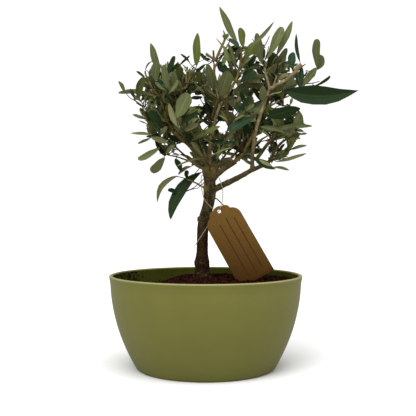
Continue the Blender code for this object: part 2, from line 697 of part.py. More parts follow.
def make_boughs(parts, neighbours, trunk):
    """Each bough as a limb, cut clear of the trunk and of the boughs made before it."""
    paths = {"trunk": trunk_path()}
    solids = {"trunk": trunk.data}
    for number, bough in enumerate(BOUGHS):
        start = point_along(paths[bough.parent], bough.at * MM)
        first, last = heading(*bough.leave), heading(*bough.arrive)
        length = bough.length * MM
        path = limb_path(start, first, last, length, bough.late, LIMB_STEP, LIMB_WANDER, number)
        base = bough.radius * MM
        mesh = tube(path, tapered(path, base, bough.tip * MM), 1 if base > THIN_BOUGH else 0)
        for other in solids.values():
            cutter = grown(other, CLEAR)
            reach = neighbours.surface(mesh, "", None)
            if reach.tree.overlap(neighbours.surface(cutter, "", None).tree):
                mesh = largest_body(combined(mesh, "DIFFERENCE", cutter=cutter))
        paths[bough.name] = path
        solids[bough.name] = mesh
        add_object(bough.name, mesh, parts, "bark")
        neighbours.add(mesh, bough.name)
    return paths


def wood_of(shoot, triangle):
    """A stem or twig as a three-sided tapering tube."""
    radii = tapered(shoot.path, shoot.base, shoot.tip)
    return tube(shoot.path, radii, profile=triangle)


def room_of(shoot, triangle):
    """The space a twig needs round it, past the stem that it leaves."""
    radii = tapered(shoot.path, shoot.base, shoot.tip)
    return tube(shoot.path[1:], [radius + 2 * CLEAR for radius in radii[1:]], profile=triangle)


def fused(stem, pieces):
    """One mesh of a stem and the twigs and leaves on it, joined by one Boolean union."""
    joining = new_collection("joining")
    for piece in pieces:
        joining.objects.link(bpy.data.objects.new("piece", piece))
    mesh = largest_body(combined(stem, "UNION", collection=joining))
    for obj in list(joining.objects):
        bpy.data.objects.remove(obj)
    bpy.data.collections.remove(joining)
    return mesh


class Growing:
    """A mass while it grows: the wood and the leaves that have found room so far."""

    def __init__(self, mass, shoots):
        self.name = mass.name
        self.shoots = shoots
        self.wood = {}
        self.leaves = []

    def add_wood(self, number, neighbours, triangle):
        self.wood[number] = wood_of(self.shoots[number], triangle)
        neighbours.add(self.wood[number], self.name, number)

    def add_leaves(self, number, blades, neighbours):
        for blade in blades:
            leaf = blade_mesh(blade)
            if neighbours.touched(blade_mesh(blade, 2 * CLEAR), self.name):
                continue
            if neighbours.touched(leaf, self.name, number, same_mass=True):
                continue
            self.leaves.append(leaf)
            neighbours.add(leaf, self.name, number)


def make_foliage(paths, parts, neighbours, triangle):
    """Every mass. All the stems come first, then the outline leaves, the twigs and the leaves."""
    tips = {bough.name: bough.tip * MM for bough in BOUGHS}
    masses = [Growing(mass, grow_mass(mass, paths[mass.bough], tips[mass.bough])) for mass in MASSES]
    for mass in masses:
        mass.add_wood(0, neighbours, triangle)
    for mass in masses:
        mass.add_leaves(0, mass.shoots[0].outline, neighbours)
    for mass in masses:
        for number, shoot in enumerate(mass.shoots[1:], 1):
            room = room_of(shoot, triangle)
            if neighbours.touched(room, mass.name):
                continue
            if not neighbours.touched(room, mass.name, number, same_mass=True):
                mass.add_wood(number, neighbours, triangle)
    for mass in masses:
        for number in mass.wood:
            mass.add_leaves(number, mass.shoots[number].leaves, neighbours)
        twigs = [piece for number, piece in mass.wood.items() if number]
        mesh = fused(mass.wood[0], twigs + mass.leaves)
        add_object(mass.name, mesh, parts, "leaf")
        print(mass.name, len(twigs), "twigs and", len(mass.leaves), "leaves")


def arc(start, end, bulge, steps):
    """Points from just after start to end on a circle that stands out by bulge to the right."""
    chord = end - start
    half = chord.length / 2
    radius = (half * half + bulge * bulge) / (2 * bulge)
    out = Vector((chord.y, -chord.x)).normalized()
    centre = (start + end) / 2 - out * (radius - bulge)
    a0 = math.atan2(start.y - centre.y, start.x - centre.x)
    a1 = math.atan2(end.y - centre.y, end.x - centre.x)
    if a1 < a0:
        a1 += 2 * math.pi
    angles = [a0 + (a1 - a0) * (i + 1) / steps for i in range(steps)]
    return [centre + radius * Vector((math.cos(a), math.sin(a))) for a in angles]


def tag_outline():
    """The card's edge, counter-clockwise from its lower left corner, in its own plane."""
    half = TAG_WIDTH / 2
    notches = [Vector((x * MM, TAG_LENGTH + y * MM)) for x, y in TAG_SCALLOPS]
    notches += [Vector((-point.x, point.y)) for point in reversed(notches)]
    outline = [Vector((-half, 0)), Vector((half, 0)), notches[0]]
    for start, end in zip(notches, notches[1:]):
        outline += arc(start, end, TAG_SCALLOP_BULGE, TAG_SCALLOP_STEPS)
    return outline


def tag_matrix():
    """Places the card's own plane, whose +Z is its face, in the object's frame."""
    turn = Matrix.Rotation(math.radians(TAG_SLANT), 4, "Z")
    upright = Matrix.Rotation(math.radians(90 - TAG_LEAN), 4, "X")
    return Matrix.Translation(TAG_FOOT) @ upright @ turn


def make_tag(parts, neighbours, soil):
    """The card with its hole, cut a hair clear of the soil where its low corner enters it."""
    curve = bpy.data.curves.new("tag", "CURVE")
    curve.dimensions = "2D"
    curve.fill_mode = "BOTH"
    curve.extrude = TAG_THICKNESS / 2
    hole = Vector((0, TAG_LENGTH + TAG_HOLE_RISE))
    turns = [2 * math.pi * i / TAG_HOLE_SIDES for i in range(TAG_HOLE_SIDES)]
    ring = [hole + TAG_HOLE_RADIUS * Vector((math.cos(a), math.sin(a))) for a in turns]
    for loop in (tag_outline(), ring):
        spline = curve.splines.new("POLY")
        spline.use_cyclic_u = True
        spline.points.add(len(loop) - 1)
        for point, place in zip(spline.points, loop):
            point.co = (place.x, place.y, 0, 1)
    obj = bpy.data.objects.new("tag", curve)
    bpy.context.scene.collection.objects.link(obj)
    mesh = welded(evaluated_mesh(obj))
    bpy.data.objects.remove(obj)
    mesh.transform(tag_matrix())
    mesh = largest_body(combined(mesh, "DIFFERENCE", cutter=grown(soil.data, CLEAR)))
    neighbours.add(mesh, "tag")
    return add_object("tag", mesh, parts, "card")


def smooth_route(route, count):
    """Points evenly spread in number along a smooth curve through a route's own points."""
    last = len(route) - 1
    points = []
    for i in range(count):
        place = i * last / (count - 1)
        k = min(int(place), last - 1)
        t = place - k
        a, b, c, d = (route[min(max(k + j, 0), last)] for j in (-1, 0, 1, 2))
        bend = 2 * b + (c - a) * t + (2 * a - 5 * b + 4 * c - d) * t * t
        points.append((bend + (3 * b - a - 3 * c + d) * t * t * t) / 2)
    return points


def make_twine(parts, neighbours):
    route = smooth_route([Vector(point) * MM for point in TWINE_ROUTE], TWINE_POINTS)
    mesh = tube(route, [TWINE_RADIUS] * len(route), 1)
    neighbours.add(mesh, "twine")
    return add_object("twine", mesh, parts, "twine")


def make_triangle(helpers):
    """The twigs' outline, one millimetre in radius. The tubes scale it by their own radii."""
    outline = bpy.data.curves.new("triangle", "CURVE")
    outline.dimensions = "2D"
    spline = outline.splines.new("POLY")
    spline.use_cyclic_u = True
    spline.points.add(2)
    for i, point in enumerate(spline.points):
        angle = 2 * math.pi * i / 3
        point.co = (MM * math.cos(angle), MM * math.sin(angle), 0, 1)
    triangle = bpy.data.objects.new("triangle", outline)
    triangle.hide_render = True
    triangle.display_type = "WIRE"
    helpers.objects.link(triangle)
    return triangle


def build():
    empty_scene()
    parts = new_collection("olive_bonsai")
    triangle = make_triangle(new_collection("helpers"))
    neighbours = Neighbours()
    make_pot(parts)
    soil = make_soil(parts)
    trunk = make_trunk(parts)
    neighbours.add(trunk.data, "trunk")
    paths = make_boughs(parts, neighbours, trunk)
    make_tag(parts, neighbours, soil)
    make_twine(parts, neighbours)
    make_foliage(paths, parts, neighbours, triangle)


build()
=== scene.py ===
# %% [markdown]
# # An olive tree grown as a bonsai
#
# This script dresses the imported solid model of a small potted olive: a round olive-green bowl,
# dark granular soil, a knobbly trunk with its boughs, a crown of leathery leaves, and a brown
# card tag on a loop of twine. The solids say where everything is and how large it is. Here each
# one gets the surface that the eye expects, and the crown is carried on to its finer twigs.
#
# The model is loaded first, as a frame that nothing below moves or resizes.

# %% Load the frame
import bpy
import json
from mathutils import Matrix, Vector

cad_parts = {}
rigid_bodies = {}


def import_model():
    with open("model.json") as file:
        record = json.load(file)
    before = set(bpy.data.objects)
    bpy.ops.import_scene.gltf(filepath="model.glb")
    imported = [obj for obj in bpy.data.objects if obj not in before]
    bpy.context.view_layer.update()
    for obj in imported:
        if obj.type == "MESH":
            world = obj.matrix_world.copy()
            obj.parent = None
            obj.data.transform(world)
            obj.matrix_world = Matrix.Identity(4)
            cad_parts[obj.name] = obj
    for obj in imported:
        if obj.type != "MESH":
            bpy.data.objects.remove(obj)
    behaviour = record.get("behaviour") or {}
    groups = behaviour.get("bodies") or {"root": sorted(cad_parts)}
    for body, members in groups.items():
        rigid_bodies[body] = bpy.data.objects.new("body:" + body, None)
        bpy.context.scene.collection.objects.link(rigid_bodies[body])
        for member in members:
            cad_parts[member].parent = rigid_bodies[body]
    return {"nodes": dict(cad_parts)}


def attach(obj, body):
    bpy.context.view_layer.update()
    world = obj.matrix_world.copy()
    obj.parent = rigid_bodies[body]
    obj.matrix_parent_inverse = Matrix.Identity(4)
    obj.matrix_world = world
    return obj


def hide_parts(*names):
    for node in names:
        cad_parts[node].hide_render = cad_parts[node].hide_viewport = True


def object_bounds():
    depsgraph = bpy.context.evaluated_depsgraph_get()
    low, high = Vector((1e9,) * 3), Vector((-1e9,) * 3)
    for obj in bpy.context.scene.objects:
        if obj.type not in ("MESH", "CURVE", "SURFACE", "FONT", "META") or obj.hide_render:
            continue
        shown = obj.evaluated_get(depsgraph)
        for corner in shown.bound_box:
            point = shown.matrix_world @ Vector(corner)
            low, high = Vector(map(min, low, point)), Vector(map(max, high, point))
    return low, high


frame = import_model()
cad_box = [list(corner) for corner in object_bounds()]
print(len(frame["nodes"]), "solids, from", cad_box[0], "to", cad_box[1])

# %% Modules and units
import json
import math
import random
from collections import namedtuple

import bmesh
import bpy
import numpy as np
from mathutils import Matrix, Vector, noise
from mathutils.bvhtree import BVHTree
from mathutils.kdtree import KDTree

MM = 0.001
scene = bpy.context.scene

def heading(azimuth, elevation):
    """Unit vector for an azimuth and an elevation in degrees."""
    a, e = math.radians(azimuth), math.radians(elevation)
    return Vector((math.cos(a) * math.cos(e), math.sin(a) * math.cos(e), math.sin(e)))

# %% [markdown]
# ## The camera
#
# The picture was taken from about a metre away with the camera level, a little above the middle
# of the tree. A level camera keeps the trunk and the pot's sides from leaning together, so no
# shift is needed. The focal length follows from how large the pot looks at that distance.

# %% Camera
PHOTO_SIDE = 416  # pixels
FOCAL_PIXELS = 725
EYE = Vector((2.8, -907, 198)) * MM
camera = bpy.data.objects.new("camera", bpy.data.cameras.new("camera"))
scene.collection.objects.link(camera)
camera.data.sensor_width = 36
camera.data.lens = 36 * FOCAL_PIXELS / PHOTO_SIDE
camera.data.clip_end = 50
camera.location = EYE
camera.rotation_euler = (math.radians(90), 0, 0)
scene.camera = camera
print("lens", round(camera.data.lens, 1), "mm")

# %% [markdown]
# ## Places in the picture
#
# Some leaves stand out so much that their place matters. Such a leaf is written down by where it
# shows in the picture, and these functions turn a pixel and a depth into a place, and back.

# %% From pixels to places
MIDDLE = PHOTO_SIDE / 2

def pixel_size(depth):
    """How many metres a pixel covers at a depth, which is a place's Y."""
    return (depth - EYE.y) / FOCAL_PIXELS

def place_of(pixel, depth):
    """The place at a depth that shows at a pixel of the picture."""
    size = pixel_size(depth)
    return Vector((EYE.x + (pixel[0] - MIDDLE) * size, depth, EYE.z - (pixel[1] - MIDDLE) * size))

def pixel_of(place):
    scale = FOCAL_PIXELS / (place.y - EYE.y)
    return Vector((MIDDLE + (place.x - EYE.x) * scale, MIDDLE - (place.z - EYE.z) * scale))

# %% [markdown]
# ## Helpers for node trees
#
# Materials and shapes here are both node trees, built by script. A few small helpers keep that
# readable: one adds a node and wires what it is given, and the others do sums, map a value onto a
# range, mix two colours, and read or store a number that a mesh carries.

# %% Node helpers
def give(tree, socket, value):
    """Sets an input to a value, or wires another node's output to it."""
    if isinstance(value, bpy.types.NodeSocket):
        tree.links.new(value, socket)
    else:
        socket.default_value = value

def add(tree, kind, inputs=None, **settings):
    """A new node in a tree, with its settings and then its inputs given."""
    node = tree.nodes.new(kind)
    for name, value in settings.items():
        setattr(node, name, value)
    for socket, value in (inputs or {}).items():
        give(tree, node.inputs[socket], value)
    return node

def sums(tree, operation, *values):
    return add(tree, "ShaderNodeMath", dict(enumerate(values)), operation=operation).outputs[0]

def product(tree, value, *others):
    for other in others:
        value = sums(tree, "MULTIPLY", value, other)
    return value

def vectors(tree, operation, *values, scale=None):
    node = add(tree, "ShaderNodeVectorMath", dict(enumerate(values)), operation=operation)
    if scale is not None:
        give(tree, node.inputs["Scale"], scale)
    return node.outputs["Vector"]

def ramp(tree, value, low, high, first=0.0, last=1.0):
    """A value from low to high mapped onto first to last, and held at the ends."""
    return add(tree, "ShaderNodeMapRange", {
        "Value": value, "From Min": low, "From Max": high, "To Min": first, "To Max": last,
    }).outputs["Result"]

def xyz(tree, vector):
    return add(tree, "ShaderNodeSeparateXYZ", {0: vector}).outputs

def object_place(tree):
    return add(tree, "ShaderNodeTexCoord").outputs["Object"]

def noise_at(tree, where, scale, detail, roughness=0.5):
    return add(tree, "ShaderNodeTexNoise", {
        "Vector": where, "Scale": scale, "Detail": detail, "Roughness": roughness,
    }).outputs

def mixed(tree, share, first, second):
    """Two colours mixed, from the first at 0 to the second at 1."""
    return add(tree, "ShaderNodeMix", {0: share, 6: first, 7: second}, data_type="RGBA").outputs[2]

def named(tree, name, kind="FLOAT"):
    """What a mesh carries under a name."""
    node = add(tree, "GeometryNodeInputNamedAttribute", {"Name": name}, data_type=kind)
    return node.outputs["Attribute"]

def store(tree, geometry, name, value, domain="POINT"):
    """Makes a mesh carry a number under a name."""
    return add(tree, "GeometryNodeStoreNamedAttribute",
               {"Geometry": geometry, "Name": name, 3: value},
               data_type="FLOAT", domain=domain).outputs[0]

def srgb(red, green, blue):
    """A colour as read off a picture, 0 to 255, as the linear colour that a shader takes."""
    linear = []
    for value in (red, green, blue):
        share = value / 255
        linear.append(share / 12.92 if share <= 0.04045 else ((share + 0.055) / 1.055) ** 2.4)
    return (*linear, 1.0)

# %% [markdown]
# ## A shared effect: mottle
#
# Moulded plastic, bark, soil, card and leaves all vary a little from place to place. One shader
# group makes that for all of them: it mixes two colours by a noise and gives the same noise out
# as a height, for a bump. Each material places the group with its own scale and colours.

# %% The mottle group
def give_inputs(tree, sockets):
    """Gives a tree its named inputs. Each is (name, kind, starting value or None)."""
    for title, kind, value in sockets:
        socket = tree.interface.new_socket(title, in_out="INPUT", socket_type=f"NodeSocket{kind}")
        if value is not None:
            socket.default_value = value

mottle = bpy.data.node_groups.new("mottle", "ShaderNodeTree")
give_inputs(mottle, (
    ("Vector", "Vector", None),
    ("Scale", "Float", 100.0),
    ("Detail", "Float", 3.0),
    ("Spread", "Float", 0.25),
    ("Light", "Color", None),
    ("Dark", "Color", None),
))
mottle.interface.new_socket("Colour", in_out="OUTPUT", socket_type="NodeSocketColor")
mottle.interface.new_socket("Height", in_out="OUTPUT", socket_type="NodeSocketFloat")
given = mottle.nodes.new("NodeGroupInput").outputs
wavering = noise_at(mottle, given["Vector"], given["Scale"], given["Detail"], 0.6)["Fac"]
mottle_height = ramp(mottle, wavering,
                     sums(mottle, "SUBTRACT", 0.5, given["Spread"]),
                     sums(mottle, "ADD", 0.5, given["Spread"]))
add(mottle, "NodeGroupOutput", {
    "Colour": mixed(mottle, mottle_height, given["Dark"], given["Light"]), "Height": mottle_height,
})
print("mottle has", len(mottle.nodes), "nodes")

# %% A plain finish that starts from the mottle
def mottle_in(tree, light, dark, scale, spread=0.25, detail=3.0):
    """Places the mottle in a material's tree, and returns its outputs."""
    return add(tree, "ShaderNodeGroup", {
        "Vector": object_place(tree), "Scale": scale,
        "Detail": detail, "Spread": spread, "Light": light, "Dark": dark,
    }, node_tree=mottle).outputs

def bumped(tree, height, strength, depth):
    """Gives a finish a bump. The depth is in metres."""
    lumps = add(tree, "ShaderNodeBump", {"Strength": strength, "Distance": depth, "Height": height})
    tree.links.new(lumps.outputs["Normal"], tree.nodes["Principled BSDF"].inputs["Normal"])

def mottled(name, light, dark, scale, roughness,
            spread=0.25, detail=3, bump=0.0, depth=0.1, gloss=0.5):
    """A material whose colour and height waver. depth is the bump's height in mm."""
    made = bpy.data.materials.new(name)
    made.use_nodes = True
    tree = made.node_tree
    effect = mottle_in(tree, light, dark, scale, spread, detail)
    shader = tree.nodes["Principled BSDF"].inputs
    tree.links.new(effect["Colour"], shader["Base Color"])
    shader["Roughness"].default_value = roughness
    shader["Specular IOR Level"].default_value = gloss
    if bump:
        bumped(tree, effect["Height"], bump, depth * MM)
    return made

def repainted(made, paint):
    """Gives a finish the colour that paint(tree, its colour so far, place) makes."""
    tree = made.node_tree
    base = tree.nodes["Principled BSDF"].inputs["Base Color"]
    tree.links.new(paint(tree, base.links[0].from_socket, object_place(tree)), base)
    return made

# %% [markdown]
# ## Helpers for pieces
#
# A piece is made as a plain mesh with its place in its points. A shape that a node tree makes is
# worked out once and turned into a plain mesh, and its modifier is taken off, because what is
# handed on may hold no live instances.

# %% Piece helpers
def plain_object(name, mesh):
    obj = bpy.data.objects.new(name, mesh)
    scene.collection.objects.link(obj)
    return obj

def worked_out(obj, name):
    """The object's mesh with its modifiers worked out, as a mesh of its own. The object goes."""
    graph = bpy.context.evaluated_depsgraph_get()
    mesh = bpy.data.meshes.new_from_object(obj.evaluated_get(graph))
    mesh.name = name
    bpy.data.objects.remove(obj)
    return mesh

def run_tree(tree, start, name, values):
    """Runs a Geometry Nodes tree on a starting mesh and returns the plain result."""
    obj = plain_object(name, start)
    modifier = obj.modifiers.new(tree.name, "NODES")
    modifier.node_group = tree
    for item in tree.interface.items_tree:
        if item.item_type == "SOCKET" and item.in_out == "INPUT" and item.name in values:
            modifier[item.identifier] = values[item.name]
    return worked_out(obj, name)

def new_tree(title, sockets):
    """An empty Geometry Nodes tree with named inputs: the tree, and its inputs to wire from."""
    tree = bpy.data.node_groups.new(title, "GeometryNodeTree")
    give_inputs(tree, (("Geometry", "Geometry", None), *sockets))
    tree.interface.new_socket("Geometry", in_out="OUTPUT", socket_type="NodeSocketGeometry")
    return tree, tree.nodes.new("NodeGroupInput").outputs

def end_tree(tree, geometry, *coats, smooth=True):
    """Ends a tree: its copies made real, then its materials, each with where it goes or None."""
    if smooth:
        geometry = add(tree, "GeometryNodeSetShadeSmooth", {0: geometry}).outputs[0]
    geometry = add(tree, "GeometryNodeRealizeInstances", {0: geometry}).outputs[0]
    for material, where in coats:
        coat = add(tree, "GeometryNodeSetMaterial", {"Geometry": geometry, "Material": material})
        if where is not None:
            give(tree, coat.inputs["Selection"], where)
        geometry = coat.outputs[0]
    add(tree, "NodeGroupOutput", {0: geometry})

def mesh_of(bm, name):
    """A mesh with what a bmesh holds. The bmesh is let go."""
    mesh = bpy.data.meshes.new(name)
    bm.to_mesh(mesh)
    bm.free()
    return mesh

def edit(mesh, change):
    """Runs change(bmesh) on a mesh."""
    bm = bmesh.new()
    bm.from_mesh(mesh)
    change(bm)
    bm.to_mesh(mesh)
    bm.free()
    mesh.update()

def finish_piece(name, mesh, stands_for):
    """Makes a mesh a piece of the object, in place of the solids that it stands for."""
    piece = plain_object(name, mesh)
    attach(piece, "root")
    if stands_for:
        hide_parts(*stands_for)
    triangles = sum(len(face.vertices) - 2 for face in mesh.polygons)
    print(name, triangles, "triangles, for", len(stands_for), "solids")

# %% [markdown]
# ## Floor and light
#
# The tree stands in a white studio. A wide white floor and a white world give the even light and
# the pale reflections along the pot's sides. Five very wide suns stand in for soft boxes: a sun
# lights the far floor as much as the near one, so the floor stays white to its edge. The floor
# sends less light back up than it shows, because the picture's shadows are deep.

# %% Studio
FLOOR_RADIUS = 9  # metres
# How much the floor and the room show to the camera, and how much light they send on
FLOOR_SHOWN, FLOOR_SENT = 0.9, 0.42
ROOM_SHOWN, ROOM_SENT = 1.05, 0.26
scene.view_settings.view_transform = "Standard"

def shown_and_sent(tree, shown, sent):
    """One value for what the camera sees, and another for the light that is sent on."""
    to_camera = add(tree, "ShaderNodeLightPath").outputs["Is Camera Ray"]
    return ramp(tree, to_camera, 0, 1, sent, shown)

floor_bm = bmesh.new()
bmesh.ops.create_circle(floor_bm, cap_ends=True, segments=96, radius=FLOOR_RADIUS)
floor = plain_object("floor", mesh_of(floor_bm, "floor"))
floor_paint = bpy.data.materials.new("floor_white")
floor_paint.use_nodes = True
floor_tree = floor_paint.node_tree
floor_shader = floor_tree.nodes["Principled BSDF"].inputs
floor_shader["Roughness"].default_value = 0.9
floor_shader["Specular IOR Level"].default_value = 0.1
give(floor_tree, floor_shader["Base Color"], shown_and_sent(floor_tree, FLOOR_SHOWN, FLOOR_SENT))
floor.data.materials.append(floor_paint)

world = bpy.data.worlds.new("white_studio")
scene.world = world
world.use_nodes = True
background = world.node_tree.nodes["Background"].inputs
background["Color"].default_value = (1, 1, 1, 1)
give(world.node_tree, background["Strength"],
     shown_and_sent(world.node_tree, ROOM_SHOWN, ROOM_SENT))

# Each light is (name, azimuth it comes from, its elevation, strength, width in degrees)
LIGHTS = (
    ("top_soft_box", -90, 74, 2.6, 50),
    ("key_front_left", -122, 38, 1.4, 40),
    ("fill_front_right", -45, 25, 0.6, 80),
    ("side_left", 186, 12, 0.5, 60),
    ("side_right", -6, 12, 0.8, 60),
)
for title, azimuth, elevation, strength, width in LIGHTS:
    light = bpy.data.lights.new(title, "SUN")
    light.energy = strength
    light.angle = math.radians(width)
    lamp = plain_object(title, light)
    lamp.rotation_euler = heading(azimuth, elevation).to_track_quat("Z", "Y").to_euler()
    print(title, "of strength", strength)

# %% [markdown]
# ## The pot
#
# The real bowl is one thin moulding in matt olive plastic, round, with a soft corner at its foot
# and a narrow rolled lip. A turned profile is the natural way to make it: the same curve as in
# the solid, read at many more points, swept round by a Screw modifier.

# %% Pot sizes
POT_RIM_RADIUS = 120 * MM
POT_BASE_RADIUS = 86 * MM
POT_HEIGHT = 115 * MM
POT_SWELL = 2.1
POT_WALL = 3 * MM
POT_LIP_OUT = 1.4 * MM
POT_LIP_DEPTH = 6 * MM
POT_STEPS = 180
WELD = 0.002 * MM

def pot_radius(height):
    """Outer radius of the pot's side at a height."""
    share = height / POT_HEIGHT
    side = POT_RIM_RADIUS - POT_LIP_OUT
    return POT_BASE_RADIUS + (side - POT_BASE_RADIUS) * (1 - (1 - share) ** POT_SWELL)

def rounded(corner, start, end, count):
    """Points of a soft corner from start to end, pulled towards corner."""
    points = []
    for i in range(count + 1):
        t = i / count
        a = start.lerp(corner, t)
        points.append(a.lerp(corner.lerp(end, t), t))
    return points

def pot_profile():
    """(radius, height) points up the inside, over the lip and down the outside."""
    def at(radius, height):
        return Vector((radius, height))

    inner = [at(pot_radius(z) - POT_WALL, z) for z in np.linspace(9 * MM, 111 * MM, 22)]
    floor_corner = at(pot_radius(POT_WALL) - POT_WALL, POT_WALL)
    profile = [at(0, POT_WALL), at(40 * MM, POT_WALL)]
    profile += rounded(floor_corner, at(floor_corner.x - 5 * MM, POT_WALL), inner[0], 6)
    profile += inner[1:]
    lip_in = POT_RIM_RADIUS - POT_LIP_OUT - POT_WALL
    lip_top = at(lip_in + 1.4 * MM, POT_HEIGHT)
    profile += rounded(at(lip_in, POT_HEIGHT), at(lip_in, POT_HEIGHT - 1.6 * MM), lip_top, 5)
    edge = at(POT_RIM_RADIUS, POT_HEIGHT - 1.8 * MM)
    profile += rounded(at(POT_RIM_RADIUS, POT_HEIGHT), at(edge.x - 1.8 * MM, POT_HEIGHT), edge, 6)
    under = POT_HEIGHT - POT_LIP_DEPTH
    low = at(POT_RIM_RADIUS - 0.5 * MM, POT_HEIGHT - 4 * MM)
    wall = at(pot_radius(under - 6 * MM), under - 6 * MM)
    profile += rounded(at(pot_radius(under) + 0.5 * MM, under), low, wall, 10)
    profile += [at(pot_radius(z), z) for z in np.linspace(101 * MM, 4 * MM, 34)]
    foot_edge = at(POT_BASE_RADIUS, 0)
    side_foot = at(pot_radius(2.4 * MM), 2.4 * MM)
    profile += rounded(foot_edge, side_foot, at(foot_edge.x - 2.8 * MM, 0), 6)
    profile += [at(50 * MM, 0), at(0, 0)]
    return profile

def turned(name, profile, steps):
    mesh = bpy.data.meshes.new(name)
    points = [(point.x, 0, point.y) for point in profile]
    mesh.from_pydata(points, [(i, i + 1) for i in range(len(points) - 1)], [])
    obj = plain_object(name, mesh)
    screw = obj.modifiers.new("turn", "SCREW")
    screw.axis = "Z"
    screw.steps = screw.render_steps = steps
    screw.use_merge_vertices = True
    screw.merge_threshold = WELD
    result = worked_out(obj, name)
    edit(result, lambda bm: bmesh.ops.remove_doubles(bm, verts=bm.verts, dist=WELD))
    edit(result, lambda bm: bmesh.ops.recalc_face_normals(bm, faces=bm.faces))
    result.shade_smooth()
    return result

# %% [markdown]
# The plastic is satin: it has a broad, weak shine and a very fine moulded texture. Inside the bowl the
# wall is darker, partly stained by damp soil and partly painted shade, with bits of soil stuck to it at
# the left. The front of the lip's edge is painted pale as a painted highlight. The stain with its painted
# shade, and the painted highlight, are materials of their own, each on its own faces.

# %% Pot plastic
# Where the inner wall's stain and painted shade stops, and where the painted highlight on the lip's front
# edge starts
STAIN_AND_SHADE_TOP = 113.4 * MM
LIP_HIGHLIGHT_FROM = 113.6 * MM
LIP_HIGHLIGHT_BACK = 30 * MM

def pot_plastic(name, light, dark, roughness, gloss=0.3):
    made = mottled(name, light, dark, 26, roughness, spread=0.35, detail=2, gloss=gloss)
    tree = made.node_tree
    bumped(tree, noise_at(tree, object_place(tree), 1800, 2)["Fac"], 0.12, 0.05 * MM)
    return made

def splashed(tree, clean, where):
    """Bits of soil that stick to the wall inside, at the left."""
    left = ramp(tree, xyz(tree, where)["X"], -78 * MM, -100 * MM, 0, 0.2)
    bits = noise_at(tree, where, 330, 2)["Fac"]
    stuck = ramp(tree, sums(tree, "ADD", bits, left), 0.66, 0.71)
    return mixed(tree, stuck, clean, srgb(14, 9, 6))

# The inner wall: partly a damp-soil stain, partly painted shade
stained_and_shaded = pot_plastic("pot_stained_and_shaded_plastic", srgb(75, 77, 20), srgb(54, 56, 12), 0.7, gloss=0.05)
pot_mesh = turned("pot_bowl", pot_profile(), POT_STEPS)
for finish in (
    pot_plastic("pot_olive_plastic", srgb(117, 116, 52), srgb(111, 109, 47), 0.45),
    repainted(stained_and_shaded, splashed),
    # The lip's pale front edge is a painted highlight
    pot_plastic("pot_lip_painted_highlight", srgb(150, 146, 101), srgb(132, 128, 84), 0.4),
):
    pot_mesh.materials.append(finish)
for face in pot_mesh.polygons:
    x, y, z = face.center
    if z > LIP_HIGHLIGHT_FROM and y < LIP_HIGHLIGHT_BACK:
        face.material_index = 2
    elif POT_WALL * 0.5 < z < STAIN_AND_SHADE_TOP and math.hypot(x, y) < pot_radius(z) - POT_WALL / 2:
        face.material_index = 1
finish_piece("pot_bowl", pot_mesh, ["pot"])

# %% [markdown]
# ## The soil
#
# The bowl is filled almost to its rim with a dark, crumbly mix of fired clay and peat. Its top is
# a low mound round the trunk, lower by the left wall. Underneath the crumbs lies one closed body
# of the same form as the solid, with its top roughened by a noise.

# %% Soil body
SOIL_TOP = 110.2 * MM
SOIL_FLAT_RADIUS = 21 * MM
SOIL_EDGE = 104 * MM
SOIL_EDGE_RISE = 2.5 * MM
SOIL_LEFT_DIP = 7.5 * MM
SOIL_GAP = 0.35 * MM

def soft_step(low, high, value):
    share = min(1.0, max(0.0, (value - low) / (high - low)))
    return share * share * (3 - 2 * share)

def soil_height(x, y):
    """The mounded top of the soil, with the hollow that the watering left by the left wall."""
    radius = math.hypot(x, y)
    edge_radius = pot_radius(SOIL_EDGE) - POT_WALL
    smooth = soft_step(edge_radius, SOIL_FLAT_RADIUS, radius)
    edge = SOIL_EDGE + SOIL_EDGE_RISE * x / edge_radius
    dip = SOIL_LEFT_DIP * soft_step(-24 * MM, -66 * MM, x)
    return edge + (SOIL_TOP - edge) * smooth - dip

def soil_relief(x, y):
    coarse = noise.noise(Vector((x, y, 0)) * 130) * 0.9 * MM
    return coarse + noise.noise(Vector((x, y, 0.3)) * 420) * 0.5 * MM

def soil_body():
    rings = [Vector((radius, SOIL_TOP)) for radius in np.linspace(0, 114.5 * MM, 64)]
    heights = np.linspace(94 * MM, 9 * MM, 14)
    side = [Vector((pot_radius(z) - POT_WALL - SOIL_GAP, z)) for z in heights]
    foot_radius = pot_radius(POT_WALL) - 8 * MM
    foot = [Vector((radius, POT_WALL + SOIL_GAP)) for radius in (foot_radius, 0)]
    mesh = turned("soil_bed", rings + side + foot, 150)
    for vertex in mesh.vertices:
        x, y, z = vertex.co
        if z > SOIL_TOP - MM:
            vertex.co.z = soil_height(x, y) + soil_relief(x, y)
            room = pot_radius(vertex.co.z) - POT_WALL - SOIL_GAP
            radius = math.hypot(x, y)
            if radius > room:
                vertex.co.x *= room / radius
                vertex.co.y *= room / radius
    return mesh

soil_mesh = soil_body()
soil_paint = mottled("soil_dark", srgb(22, 10, 6), srgb(5, 3, 2), 420, 0.95,
                     spread=0.18, detail=4, bump=0.8, depth=0.8, gloss=0.1)
soil_mesh.materials.append(soil_paint)
finish_piece("soil_bed", soil_mesh, ["soil"])

# %% [markdown]
# The crumbs lie loose on top. Strewing a few thousand of them is a job for Geometry Nodes: points are
# dealt out over the soil's top with a least distance between them, each gets a small faceted ball turned
# and sized at random, and a noise then knocks every ball out of true.

